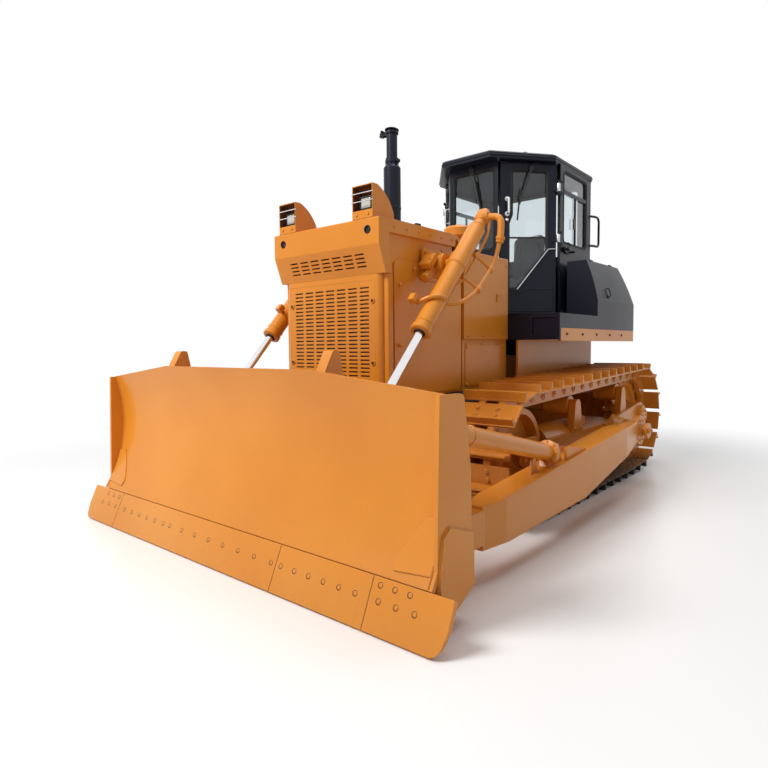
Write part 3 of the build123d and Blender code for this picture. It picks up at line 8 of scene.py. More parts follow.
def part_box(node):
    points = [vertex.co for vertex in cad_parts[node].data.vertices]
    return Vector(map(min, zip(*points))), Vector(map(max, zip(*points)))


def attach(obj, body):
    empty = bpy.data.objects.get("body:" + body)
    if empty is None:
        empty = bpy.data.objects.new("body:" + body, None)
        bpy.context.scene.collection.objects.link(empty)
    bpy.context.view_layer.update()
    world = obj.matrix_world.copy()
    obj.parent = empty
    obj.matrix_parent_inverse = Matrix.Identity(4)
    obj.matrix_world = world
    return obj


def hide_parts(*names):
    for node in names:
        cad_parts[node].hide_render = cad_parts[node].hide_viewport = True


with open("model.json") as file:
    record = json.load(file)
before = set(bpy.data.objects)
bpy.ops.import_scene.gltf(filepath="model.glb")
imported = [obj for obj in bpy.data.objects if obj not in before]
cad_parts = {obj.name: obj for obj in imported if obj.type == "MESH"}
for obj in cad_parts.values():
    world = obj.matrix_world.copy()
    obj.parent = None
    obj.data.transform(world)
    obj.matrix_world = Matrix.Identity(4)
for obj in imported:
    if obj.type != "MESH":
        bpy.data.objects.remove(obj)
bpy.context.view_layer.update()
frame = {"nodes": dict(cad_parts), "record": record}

# Studio: a plain white floor and soft lamps ahead of the blade, with a white surround that
# only the camera, gloss and glass see. The camera stands where the photographer stood.
scene = bpy.context.scene
scene.view_settings.view_transform = "Standard"
FLOOR_HALF = 60.0
FLOOR_LIT_RADIUS = 3.4
FLOOR_FADE = 3.4
SURROUND_LIGHT = 0.30
FLOOR_WHITE = (0.93, 0.93, 0.93, 1)


def shader(name):
    """A new node material with its Principled shader."""
    material = bpy.data.materials.new(name)
    material.use_nodes = True
    tree = material.node_tree
    return material, tree.nodes, tree.links, tree.nodes["Principled BSDF"]


def add_node(nodes, kind, **settings):
    node = nodes.new(kind)
    for key, value in settings.items():
        setattr(node, key, value)
    return node


def math_node(nodes, links, operation, first, second, clamp=False):
    """A Math node on two sockets or plain numbers; gives its output."""
    node = add_node(nodes, "ShaderNodeMath", operation=operation, use_clamp=clamp)
    for socket, value in zip(node.inputs, (first, second)):
        if isinstance(value, (int, float)):
            socket.default_value = value
        else:
            links.new(value, socket)
    return node.outputs[0]


def seen_directly(nodes, links):
    """1 for rays from the camera, a gloss or a glass surface."""
    path = nodes.new("ShaderNodeLightPath")
    glossy = math_node(nodes, links, "MAXIMUM", path.outputs["Is Camera Ray"],
                       path.outputs["Is Glossy Ray"])
    return math_node(nodes, links, "MAXIMUM", glossy, path.outputs["Is Transmission Ray"])


floor_mesh = bpy.data.meshes.new("floor")
corners = [(x * FLOOR_HALF, y * FLOOR_HALF, 0) for x, y in ((-1, -1), (1, -1), (1, 1), (-1, 1))]
floor_mesh.from_pydata(corners, [], [(0, 1, 2, 3)])
floor = bpy.data.objects.new("floor", floor_mesh)
scene.collection.objects.link(floor)
floor_paint, nodes, links, floor_shader = shader("studio_floor")
floor_shader.inputs["Base Color"].default_value = FLOOR_WHITE
floor_shader.inputs["Roughness"].default_value = 0.32
floor_shader.inputs["Specular IOR Level"].default_value = 0.25
place = nodes.new("ShaderNodeNewGeometry")
distance = add_node(nodes, "ShaderNodeVectorMath", operation="LENGTH")
links.new(place.outputs["Position"], distance.inputs[0])
fade = add_node(nodes, "ShaderNodeMapRange", interpolation_type="SMOOTHSTEP")
fade.inputs["From Min"].default_value = FLOOR_LIT_RADIUS
fade.inputs["From Max"].default_value = FLOOR_LIT_RADIUS + FLOOR_FADE
links.new(distance.outputs["Value"], fade.inputs["Value"])
glow = nodes.new("ShaderNodeEmission")
share = math_node(nodes, links, "MULTIPLY", fade.outputs["Result"], seen_directly(nodes, links))
mixed = nodes.new("ShaderNodeMixShader")
links.new(share, mixed.inputs["Fac"])
links.new(floor_shader.outputs["BSDF"], mixed.inputs[1])
links.new(glow.outputs["Emission"], mixed.inputs[2])
links.new(mixed.outputs["Shader"], nodes["Material Output"].inputs["Surface"])
floor_mesh.materials.append(floor_paint)

world = bpy.data.worlds.new("white_surround")
scene.world = world
world.use_nodes = True
nodes, links = world.node_tree.nodes, world.node_tree.links
level = math_node(nodes, links, "MAXIMUM", seen_directly(nodes, links), SURROUND_LIGHT)
links.new(level, nodes["Background"].inputs["Strength"])
nodes["Background"].inputs["Color"].default_value = (1, 1, 1, 1)


def soft_lamp(name, place, aim, size, power):
    lamp = bpy.data.lights.new(name, "AREA")
    lamp.shape = "DISK"
    lamp.size = size
    lamp.energy = power
    holder = bpy.data.objects.new(name, lamp)
    holder.location = place
    holder.rotation_euler = (Vector(aim) - Vector(place)).to_track_quat("-Z", "Y").to_euler()
    scene.collection.objects.link(holder)


soft_lamp("key", place=(-2.0, -8.0, 8.2), aim=(0, -1.0, 1.0), size=4.5, power=860)
soft_lamp("top", place=(1.5, 1.0, 10.0), aim=(0, 0.5, 1.5), size=7.0, power=330)

CAMERA_PLACE = Vector((3.3259, -4.8998, 1.4358))
CAMERA_TURN, CAMERA_DOWN, CAMERA_ROLL = (math.radians(a) for a in (40.4255, 3.5871, -0.5205))
PHOTO_SIZE, FOCAL_PIXELS, FILM = 768, 584.4465, 36.0
level_way = Vector((-math.sin(CAMERA_TURN), math.cos(CAMERA_TURN), 0))
forward = level_way * math.cos(CAMERA_DOWN) + Vector((0, 0, -math.sin(CAMERA_DOWN)))
right = Vector((math.cos(CAMERA_TURN), math.sin(CAMERA_TURN), 0))
level_up = right.cross(forward)
across = math.cos(CAMERA_ROLL) * right + math.sin(CAMERA_ROLL) * level_up
up = -math.sin(CAMERA_ROLL) * right + math.cos(CAMERA_ROLL) * level_up
camera_data = bpy.data.cameras.new("photo_camera")
camera_data.sensor_width = FILM
camera_data.lens = FOCAL_PIXELS / PHOTO_SIZE * FILM
camera = bpy.data.objects.new("photo_camera", camera_data)
camera_turn = Matrix((across, up, -forward)).transposed().to_4x4()
camera.matrix_world = Matrix.Translation(CAMERA_PLACE) @ camera_turn
scene.collection.objects.link(camera)
scene.camera = camera

# Machine paint: one warm orange-yellow coat sprayed over steel plate, a little uneven in tone,
# softly glossy, paler over an edge (partly thin coat, partly a painted highlight) and greyer with dust near
# the ground.
ORANGE = (0.72, 0.262, 0.021, 1)
ORANGE_DEEP = (0.64, 0.215, 0.015, 1)
# Paler orange for edges: partly thin coat, partly a painted highlight.
ORANGE_THIN_SHEEN = (0.80, 0.36, 0.07, 1)
DUST = (0.34, 0.17, 0.06, 1)
EDGE_ORANGE = (0.70, 0.27, 0.035, 1)
CLOUDS, SPECKS, PEEL = (0.8, 4), (38, 5), (260, 2)
EDGE_ROUNDING = 0.006


def effect_group(name, inputs, outputs):
    """A shader node group with named sockets; gives the group, its input node and its output node."""
    group = bpy.data.node_groups.new(name, "ShaderNodeTree")
    for label, kind, value in inputs:
        socket = group.interface.new_socket(label, in_out="INPUT", socket_type=kind)
        socket.default_value = value
    for label, kind in outputs:
        group.interface.new_socket(label, in_out="OUTPUT", socket_type=kind)
    return group, group.nodes.new("NodeGroupInput"), group.nodes.new("NodeGroupOutput")


def noise(nodes, links, coords, scale, detail):
    texture = nodes.new("ShaderNodeTexNoise")
    texture.inputs["Scale"].default_value = scale
    texture.inputs["Detail"].default_value = detail
    links.new(coords, texture.inputs["Vector"])
    return texture.outputs["Fac"]


def ramp(nodes, links, value, low, high, start=0.0, end=1.0):
    spread = nodes.new("ShaderNodeMapRange")
    for label, number in (("From Min", low), ("From Max", high), ("To Min", start), ("To Max", end)):
        spread.inputs[label].default_value = number
    links.new(value, spread.inputs["Value"])
    return spread.outputs["Result"]


def blend_colour(nodes, links, factor, first, second):
    mix = add_node(nodes, "ShaderNodeMix", data_type="RGBA")
    links.new(factor, mix.inputs["Factor"])
    links.new(first, mix.inputs["A"])
    links.new(second, mix.inputs["B"])
    return mix.outputs["Result"]


COLOUR, VALUE, DIRECTION = "NodeSocketColor", "NodeSocketFloat", "NodeSocketVector"
paint_film, film_in, film_out = effect_group(
    "paint_film",
    [("Coat", COLOUR, ORANGE), ("Deep Coat", COLOUR, ORANGE_DEEP), ("Thin Coat Sheen", COLOUR, ORANGE_THIN_SHEEN),
     ("Dust", COLOUR, DUST), ("Dust Top", VALUE, 0.9), ("Dust Amount", VALUE, 0.2), ("Edge", VALUE, 0.5)],
    [("Color", COLOUR), ("Roughness", VALUE), ("Normal", DIRECTION)])
nodes, links = paint_film.nodes, paint_film.links
place = nodes.new("ShaderNodeTexCoord").outputs["Object"]
cloud = noise(nodes, links, place, *CLOUDS)
speck = noise(nodes, links, place, *SPECKS)
peel = noise(nodes, links, place, *PEEL)
rounding = nodes.new("ShaderNodeBevel")
rounding.samples = 4
rounding.inputs["Radius"].default_value = EDGE_ROUNDING
sharp = nodes.new("ShaderNodeNewGeometry")
turn = add_node(nodes, "ShaderNodeVectorMath", operation="DOT_PRODUCT")
links.new(rounding.outputs["Normal"], turn.inputs[0])
links.new(sharp.outputs["Normal"], turn.inputs[1])
# Edge mask: edges take the paler thin-coat colour, partly thin paint and partly a painted highlight.
edge = ramp(nodes, links, turn.outputs["Value"], 0.99, 0.80)
edge = math_node(nodes, links, "MULTIPLY", edge, ramp(nodes, links, speck, 0.42, 0.60))
edge = math_node(nodes, links, "MULTIPLY", edge, film_in.outputs["Edge"], clamp=True)
height = add_node(nodes, "ShaderNodeSeparateXYZ")
links.new(place, height.inputs["Vector"])
low = math_node(nodes, links, "DIVIDE", height.outputs["Z"], film_in.outputs["Dust Top"])
dusty = math_node(nodes, links, "MULTIPLY", ramp(nodes, links, low, 1.0, 0.0),
                  ramp(nodes, links, speck, 0.30, 0.65, 0.4, 1.0))
dusty = math_node(nodes, links, "MULTIPLY", dusty, film_in.outputs["Dust Amount"], clamp=True)
colour = blend_colour(nodes, links, ramp(nodes, links, cloud, 0.35, 0.65), film_in.outputs["Coat"],
                      film_in.outputs["Deep Coat"])
colour = blend_colour(nodes, links, edge, colour, film_in.outputs["Thin Coat Sheen"])
colour = blend_colour(nodes, links, dusty, colour, film_in.outputs["Dust"])
links.new(colour, film_out.inputs["Color"])
gloss = math_node(nodes, links, "ADD", ramp(nodes, links, cloud, 0.3, 0.7, 0.27, 0.36),
                  math_node(nodes, links, "MULTIPLY", dusty, 0.5))
links.new(gloss, film_out.inputs["Roughness"])
skin = nodes.new("ShaderNodeBump")
skin.inputs["Strength"].default_value = 0.05
skin.inputs["Distance"].default_value = 0.002
links.new(peel, skin.inputs["Height"])
links.new(rounding.outputs["Normal"], skin.inputs["Normal"])
links.new(skin.outputs["Normal"], film_out.inputs["Normal"])


def painted(name, coat=ORANGE, deep=ORANGE_DEEP, thin_sheen=ORANGE_THIN_SHEEN, dust=DUST, dust_top=0.9, edge=0.5,
            coat_weight=0.15, shine=0.30, dust_amount=0.2):
    """Paint material with the film's tone, dust and softened edges, paler at the edges partly from thin
    coat and partly as a painted highlight.
    """
    material, nodes, links, surface = shader(name)
    film = nodes.new("ShaderNodeGroup")
    film.node_tree = paint_film
    for label, value in (("Coat", coat), ("Deep Coat", deep), ("Thin Coat Sheen", thin_sheen), ("Dust", dust),
                         ("Dust Top", dust_top), ("Dust Amount", dust_amount), ("Edge", edge)):
        film.inputs[label].default_value = value
    links.new(film.outputs["Color"], surface.inputs["Base Color"])
    links.new(film.outputs["Roughness"], surface.inputs["Roughness"])
    links.new(film.outputs["Normal"], surface.inputs["Normal"])
    surface.inputs["Coat Weight"].default_value = coat_weight
    surface.inputs["Coat Roughness"].default_value = 0.12
    surface.inputs["Specular IOR Level"].default_value = shine
    return material


def coat_nodes(material, slot):
    """Gives a finish to every solid whose slot in the record is this one."""
    for part in frame["record"]["subparts"]:
        if part["material_slot"] == slot:
            frame["nodes"][part["node"]].material_slots[0].material = material


orange_paint = painted("orange_paint")
coat_nodes(orange_paint, "yellow_paint")
edge_steel = painted("edge_steel", coat=EDGE_ORANGE, dust_top=0.3, edge=0.9)
coat_nodes(edge_steel, "edge_paint")

# Charcoal paint of cab, tank, fenders and exhaust: a blue-black gloss coat over sheet steel,
# clear enough to show soft reflections, with grey at the edges that is partly thin coat and partly a
# painted highlight.
CHARCOAL = (0.0105, 0.0125, 0.0240, 1)
CHARCOAL_DEEP = (0.0085, 0.0100, 0.0190, 1)
CHARCOAL_THIN_SHEEN = (0.035, 0.038, 0.05, 1)
CHARCOAL_DUST = (0.03, 0.027, 0.025, 1)
charcoal_paint = painted("charcoal_paint", CHARCOAL, CHARCOAL_DEEP, CHARCOAL_THIN_SHEEN, CHARCOAL_DUST,
                         dust_top=1.2, coat_weight=0.05, shine=0.16)
coat_nodes(charcoal_paint, "charcoal_paint")

# Dull dark finishes inside the hood: the engine block and radiator core are oily grey-black,
# with no gloss coat.
OILY_BLACK = (0.03, 0.027, 0.024, 1)
OILY_DEEP = (0.02, 0.018, 0.016, 1)
# Paler tone for edges: partly thin coat, partly a painted highlight.
OILY_THIN_SHEEN = (0.05, 0.045, 0.04, 1)
engine_black = painted("engine_black", OILY_BLACK, OILY_DEEP, OILY_THIN_SHEEN, coat_weight=0.0)
coat_nodes(engine_black, "engine_paint")

# Bare metals: chromed cylinder rods, and the bright steel of hinges, grips and dial rims.
# Both are metal, polished a little unevenly.
CHROME = (0.82, 0.82, 0.84, 1)
BRIGHT_STEEL = (0.60, 0.60, 0.61, 1)


def grained(name, colour, scale, detail, rough, bump=None, shine=0.5, metallic=0.0):
    """A plain finish whose fine grain varies its roughness and, with (strength, depth), its surface."""
    material, nodes, links, surface = shader(name)
    place = nodes.new("ShaderNodeTexCoord").outputs["Object"]
    grain = noise(nodes, links, place, scale, detail)
    surface.inputs["Base Color"].default_value = colour
    surface.inputs["Metallic"].default_value = metallic
    surface.inputs["Specular IOR Level"].default_value = shine
    links.new(ramp(nodes, links, grain, 0.3, 0.7, *rough), surface.inputs["Roughness"])
    if bump:
        relief = nodes.new("ShaderNodeBump")
        relief.inputs["Strength"].default_value = bump[0]
        relief.inputs["Distance"].default_value = bump[1]
        links.new(grain, relief.inputs["Height"])
        links.new(relief.outputs["Normal"], surface.inputs["Normal"])
    return material


def metal(name, colour, rough, scale):
    """A bare metal of a mean roughness, with marks of the scale given."""
    return grained(name, colour, scale, 6, (rough * 0.8, rough * 1.3), (0.03, 0.001), metallic=1.0)


chrome = metal("rod_chrome", CHROME, 0.10, 90)
coat_nodes(chrome, "rod_chrome")
bright_steel = metal("bright_steel", BRIGHT_STEEL, 0.28, 140)

# Tracks: a steel loop of links with one grouser shoe on each, bolted by four hexagon bolts,
# all sprayed orange. The shoes are darker towards the ground.
RAIL_MIDDLE = 0.0875
BOLT_STEP = 0.034
SHOE_BOLT = (0.017, 0.014)
PLATE_AREA = 0.05
PIN_DEPTH = 0.072
PIN_SHIFT = 0.023
PIN_FACE = 0.115
LINK_BOSS = [(0.040, -0.002), (0.040, 0.006), (0.036, 0.010)]
PIN_END = [(0.021, 0.0), (0.021, 0.016), (0.018, 0.019)]
TRACK_ORANGE, TRACK_DEEP = (0.66, 0.25, 0.030, 1), (0.55, 0.19, 0.020, 1)
LOW_DARK = (0.035, 0.027, 0.022, 1)


def build(name, bm, material, body, smooth=False):
    """Turns a bmesh into a piece that rides on a body."""
    mesh = bpy.data.meshes.new(name)
    bmesh.ops.recalc_face_normals(bm, faces=bm.faces)
    bm.to_mesh(mesh)
    bm.free()
    mesh.materials.append(material)
    piece = bpy.data.objects.new(name, mesh)
    scene.collection.objects.link(piece)
    if smooth:
        mesh.polygons.foreach_set("use_smooth", [True] * len(mesh.polygons))
        mesh.set_sharp_from_angle(angle=math.radians(35))
    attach(piece, body)
    return piece


def skin_rings(bm, rings, capped=True):
    """Joins rings of points into a skin, with a face over each end or round to the first ring."""
    pairs = list(zip(rings, rings[1:])) if capped else list(zip(rings, rings[1:] + rings[:1]))
    for lower, upper in pairs:
        for step in range(len(lower)):
            after = (step + 1) % len(lower)
            bm.faces.new((lower[step], lower[after], upper[after], upper[step]))
    if capped:
        bm.faces.new(list(reversed(rings[0])))
        bm.faces.new(rings[-1])


def turned_on(bm, spot, axis, profile, sides, phase=0.0, bore=None):
    """Adds a turned form: profile rows are (radius, height) along the axis from the spot.

    It is closed at both ends, or is a ring round a bore of the radius given.
    """
    turn = Vector(axis).normalized().to_track_quat("Z", "Y").to_matrix()
    rings = []
    if bore:
        profile = [*profile, (bore, profile[-1][1]), (bore, profile[0][1])]
    for radius, rise in profile:
        ring = []
        for step in range(sides):
            angle = phase + 2 * math.pi * step / sides
            way = turn @ Vector((radius * math.cos(angle), radius * math.sin(angle), rise))
            ring.append(bm.verts.new(Vector(spot) + way))
        rings.append(ring)
    skin_rings(bm, rings, capped=not bore)


def hex_bolt(bm, spot, axis, radius, rise):
    """A washer with a chamfered hexagon head."""
    washer = radius * 1.45
    turned_on(bm, spot, axis, [(washer, -0.002), (washer, rise * 0.2), (radius * 1.35, rise * 0.25)], 14)
    turned_on(bm, spot, axis, [(radius, 0.0), (radius, rise * 0.85), (radius * 0.86, rise)], 6)


def shoe_plates(track):
    """Centre and outward normal of the flat of each shoe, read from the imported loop."""
    bm = bmesh.new()
    bm.from_mesh(frame["nodes"][track].data)
    bmesh.ops.remove_doubles(bm, verts=bm.verts, dist=1e-5)
    bmesh.ops.dissolve_limit(bm, angle_limit=0.002, verts=bm.verts, edges=bm.edges)
    plates = []
    for face in bm.faces:
        if face.calc_area() > PLATE_AREA and abs(face.normal.x) < 0.01:
            plates.append((face.calc_center_bounds(), face.normal.copy()))
    bm.free()
    lo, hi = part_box(track)
    middle = (lo + hi) / 2
    plates = [(c, n) for c, n in plates if (c - middle).dot(n) > 0]
    return sorted(plates, key=lambda plate: math.atan2(plate[0].z - middle.z, plate[0].y - middle.y))


# The film's dust mix, given a near-black colour here, darkens the shoes towards the ground.
track_paint = painted("track_paint", coat=TRACK_ORANGE, deep=TRACK_DEEP, dust=LOW_DARK, dust_top=0.20,
                      edge=0.8, coat_weight=0.1, dust_amount=2.2)
coat_nodes(track_paint, "track_paint")
coat_nodes(track_paint, "cast_steel")
for side in ("left", "right"):
    track = f"track_{side}"
    plates = shoe_plates(track)
    bolts = bmesh.new()
    pins = bmesh.new()
    links_at = []
    for centre, normal in plates:
        along = Vector((0, -normal.z, normal.y))
        for x in (-RAIL_MIDDLE, RAIL_MIDDLE):
            for step in (-BOLT_STEP, BOLT_STEP):
                hex_bolt(bolts, centre + Vector((x, 0, 0)) + along * step, normal, *SHOE_BOLT)
        links_at.append(centre + along * PIN_SHIFT - normal * PIN_DEPTH)
    for here, after in zip(links_at, links_at[1:] + links_at[:1]):
        joint = (here + after) / 2
        for x in (-1, 1):
            face = joint + Vector((x * PIN_FACE, 0, 0))
            turned_on(pins, face, (x, 0, 0), LINK_BOSS, 18)
            turned_on(pins, face, (x, 0, 0), PIN_END, 14)
    build(f"shoe_bolts_{side}", bolts, track_paint, "tractor")
    build(f"link_pins_{side}", pins, track_paint, "tractor", True)

# Running gear: bolted caps on the roller and idler axles, the sprocket's ring of segment bolts, and
# the trunnion pins' end plates. Cast and turned steel, sprayed with the machine.
ACROSS, BACKWARD, AHEAD, UPWARD = (1, 0, 0), (0, 1, 0), (0, -1, 0), (0, 0, 1)
FRAME_FACE = 1.190
FRAME_BACK = 0.810
ROLLER_LINE, ROLLER_START, ROLLER_STEP, ROLLERS = 0.309, -0.170, 0.356, 6
IDLER_SPOT, SPROCKET_SPOT, TRUNNION_SPOT = (-0.600, 0.574), (2.130, 0.630), (1.370, 0.560)


def bolt_ring(bm, centre, axis, radius, count, bolt, phase=0.0):
    """Hexagon bolts evenly round a circle."""
    turn = Vector(axis).normalized().to_track_quat("Z", "Y").to_matrix()
    for step in range(count):
        angle = phase + 2 * math.pi * step / count
        spot = Vector(centre) + turn @ Vector((radius * math.cos(angle), radius * math.sin(angle), 0))
        hex_bolt(bm, spot, axis, *bolt)


def add_plate(bm, origin, across, up, outline, thick, chamfer=0.0015):
    """A flat plate: an outline in (across, up), drawn out ahead of its plane, or behind it below 0."""
    across, up = Vector(across).normalized(), Vector(up).normalized()
    out = across.cross(up)
    middle = sum((Vector(p) for p in outline), Vector((0, 0))) / len(outline)
    rows = []
    for pull, rise in ((0, 0), (0, thick - math.copysign(chamfer, thick)), (chamfer, thick)):
        row = []
        for p in outline:
            spot = Vector(p) + (middle - Vector(p)).normalized() * pull
            row.append(bm.verts.new(Vector(origin) + across * spot.x + up * spot.y + out * rise))
        rows.append(row)
    skin_rings(bm, rows)


def soft_rectangle(wide, high, radius, steps=4):
    """Outline of a rectangle with rounded corners about its middle."""
    points = []
    for quarter, (sx, sz) in enumerate(((1, 1), (-1, 1), (-1, -1), (1, -1))):
        for step in range(steps + 1):
            angle = math.pi / 2 * (quarter + step / steps)
            points.append((sx * (wide / 2 - radius) + radius * math.cos(angle),
                           sz * (high / 2 - radius) + radius * math.sin(angle)))
    return points


ROLLER_CAP = [(0.052, -0.004), (0.052, 0.016), (0.044, 0.024), (0.018, 0.024), (0.014, 0.029)]
IDLER_CAP = [(0.062, -0.002), (0.062, 0.012), (0.050, 0.022), (0.016, 0.022), (0.012, 0.027)]
IDLER_PAD, IDLER_PAD_THICK = soft_rectangle(0.21, 0.15, 0.02), 0.018
TRUNNION_PAD = soft_rectangle(0.105, 0.05, 0.015)
caps = bmesh.new()
for side in (-1, 1):
    for face, way in ((FRAME_FACE, side), (FRAME_BACK, -side)):
        for index in range(ROLLERS):
            y = ROLLER_START + index * ROLLER_STEP
            spot = (side * face, y, ROLLER_LINE)
            turned_on(caps, spot, (way, 0, 0), ROLLER_CAP, 24)
            for step in (-0.078, 0.078):
                hex_bolt(caps, (side * face, y + step, ROLLER_LINE + 0.022), (way, 0, 0), 0.013, 0.014)
        y, z = IDLER_SPOT
        add_plate(caps, (side * face, y, z), (0, way, 0), UPWARD, IDLER_PAD, IDLER_PAD_THICK, 0.003)
        pad_face = side * (face + IDLER_PAD_THICK * way * side)
        turned_on(caps, (pad_face, y, z), (way, 0, 0), IDLER_CAP, 28)
        for sy in (-0.085, 0.085):
            for sz in (-0.052, 0.052):
                hex_bolt(caps, (pad_face, y + sy, z + sz), (way, 0, 0), 0.014, 0.014)
    bolt_ring(caps, (side * 1.045, *SPROCKET_SPOT), (side, 0, 0), 0.386, 18, (0.015, 0.015))
    bolt_ring(caps, (side * 1.2695, *SPROCKET_SPOT), (side, 0, 0), 0.056, 6, (0.010, 0.011))
    add_plate(caps, (side * 1.540, *TRUNNION_SPOT), (0, side, 0), UPWARD, TRUNNION_PAD, 0.012, 0.002)
    for step in (-0.034, 0.034):
        spot = (side * 1.552, TRUNNION_SPOT[0] + step, TRUNNION_SPOT[1])
        hex_bolt(caps, spot, (side, 0, 0), 0.012, 0.012)
    for y in (0.390, 1.640):
        for step in (-0.07, 0.07):
            hex_bolt(caps, (side * FRAME_FACE, y + step, 0.665), (side, 0, 0), 0.013, 0.013)
build("axle_caps", caps, orange_paint, "tractor", True)

# Hull and rear case: a round inspection cover and flange bolts on the cast case, bolts through the
# drawbar's foot, and countersunk rows under the belly guard.
CASE_BACK, DRAWBAR_FACE, BELLY_FACE = 2.480, 2.5404, 0.405
CASE_COVER = [(0.170, -0.002), (0.170, 0.016), (0.163, 0.020), (0.112, 0.020), (0.100, 0.034),
              (0.020, 0.036), (0.016, 0.044)]
BELLY_SCREW = [(0.022, -0.002), (0.022, 0.004), (0.018, 0.007), (0.008, 0.007), (0.007, 0.004)]
case_bolts = bmesh.new()
turned_on(case_bolts, (0, CASE_BACK, 0.960), BACKWARD, CASE_COVER, 40)
bolt_ring(case_bolts, (0, CASE_BACK + 0.020, 0.960), BACKWARD, 0.141, 10, (0.012, 0.013))
for x in (-0.385, -0.235, 0.235, 0.385):
    for z in (0.500, 1.270):
        hex_bolt(case_bolts, (x, CASE_BACK, z), BACKWARD, 0.014, 0.014)
for x in (-0.385, 0.385):
    for z in (0.690, 0.880, 1.070):
        hex_bolt(case_bolts, (x, CASE_BACK, z), BACKWARD, 0.014, 0.014)
for x in (-0.150, 0.150):
    for z in (0.512, 0.688):
        hex_bolt(case_bolts, (x, DRAWBAR_FACE, z), BACKWARD, 0.019, 0.018)
for side in (-1, 1):
    for index in range(8):
        spot = (side * 0.375, -1.300 + index * 0.340, BELLY_FACE)
        turned_on(case_bolts, spot, (0, 0, -1), BELLY_SCREW, 18)
build("case_bolts", case_bolts, orange_paint, "tractor", True)

# Radiator mask and hood cap: ring locks, with a black disc in each that paints the shade of its hole, and
# screws hold the slotted grille over a bolted lower plate, black rubber plugs close the cap's two holes,
# and black sheets behind the openings paint the shade inside them.
MASK_FACE, CAP_FACE = -1.640, -1.713
RUBBER_BLACK = (0.012, 0.012, 0.013, 1)
rubber = grained("black_rubber", RUBBER_BLACK, 160, 4, (0.55, 0.75), (0.12, 0.0008), shine=0.3)

LOCK_ASIDE, LOCK_HEIGHTS = 0.448, (1.320, 1.781)
LOCK_RING = [(0.021, -0.002), (0.021, 0.006), (0.018, 0.009), (0.013, 0.009)]
LOCK_HOLE = [(0.0125, -0.001), (0.0125, 0.0006), (0.010, 0.0010)]
CAP_PLUG = [(0.0248, -0.012), (0.0248, 0.011), (0.031, 0.0112), (0.030, 0.014), (0.024, 0.015),
            (0.021, 0.005)]
CAP_SLOT_SHADE = soft_rectangle(0.960, 0.300, 0.010)
GRILLE_SLOT_SHADE = soft_rectangle(0.860, 0.860, 0.010)
# Black sheets behind the cap's slots and the grille: painted shade inside the openings.
slot_shade = bmesh.new()
add_plate(slot_shade, (0, CAP_FACE + 0.082, 2.185), ACROSS, UPWARD, CAP_SLOT_SHADE, 0.003, 0.001)
add_plate(slot_shade, (0, MASK_FACE + 0.018, 1.545), ACROSS, UPWARD, GRILLE_SLOT_SHADE, 0.003, 0.001)
build("slot_shade_sheets", slot_shade, engine_black, "tractor")
locks = bmesh.new()
holes = bmesh.new()
for side in (-1, 1):
    for z in LOCK_HEIGHTS:
        turned_on(locks, (side * LOCK_ASIDE, MASK_FACE, z), AHEAD, LOCK_RING, 24)
        # A black disc in each lock ring paints the shade of its hole.
        turned_on(holes, (side * LOCK_ASIDE, MASK_FACE - 0.009, z), AHEAD, LOCK_HOLE, 24)
    for x in (0.08, 0.25, 0.42):
        hex_bolt(locks, (side * x, MASK_FACE, 1.130), AHEAD, 0.010, 0.010)
    for z in (0.770, 0.900, 1.030):
        hex_bolt(locks, (side * 0.440, MASK_FACE, z), AHEAD, 0.013, 0.013)
build("lock_hole_shade", holes, rubber, "tractor", True)
build("grille_locks", locks, orange_paint, "tractor", True)
plugs = bmesh.new()
for side in (-1, 1):
    turned_on(plugs, (side * 0.466, CAP_FACE + 0.010, 2.288), AHEAD, CAP_PLUG, 28)
build("cap_plugs", plugs, rubber, "tractor", True)

# Hood sides: an angled grip and flange screws on the rear panel, three knobs and a stud on the front
# hatch, screws under the top's flange, a bolted cover below, and rubber stops.
HATCH_SIDE, PANEL_SIDE = 0.5646, 0.577
HATCH_KNOB = [(0.013, -0.002), (0.013, 0.004), (0.008, 0.006), (0.008, 0.014), (0.015, 0.018),
              (0.015, 0.026), (0.011, 0.030)]
HATCH_STUD = [(0.012, -0.002), (0.012, 0.010), (0.009, 0.014)]
PANEL_GRIP = [(-0.049, 1.845), (-0.037, 1.845), (-0.037, 1.910), (0.060, 1.914), (0.060, 1.927),
              (-0.049, 1.923)]
SIDE_STOP = [(-0.960, 2.174), (-0.917, 2.138), (-0.862, 2.180), (-0.902, 2.218)]
TOP_STOP = soft_rectangle(0.030, 0.060, 0.008)
LOWER_COVER = soft_rectangle(0.70, 0.36, 0.03)
latches = bmesh.new()
stops = bmesh.new()
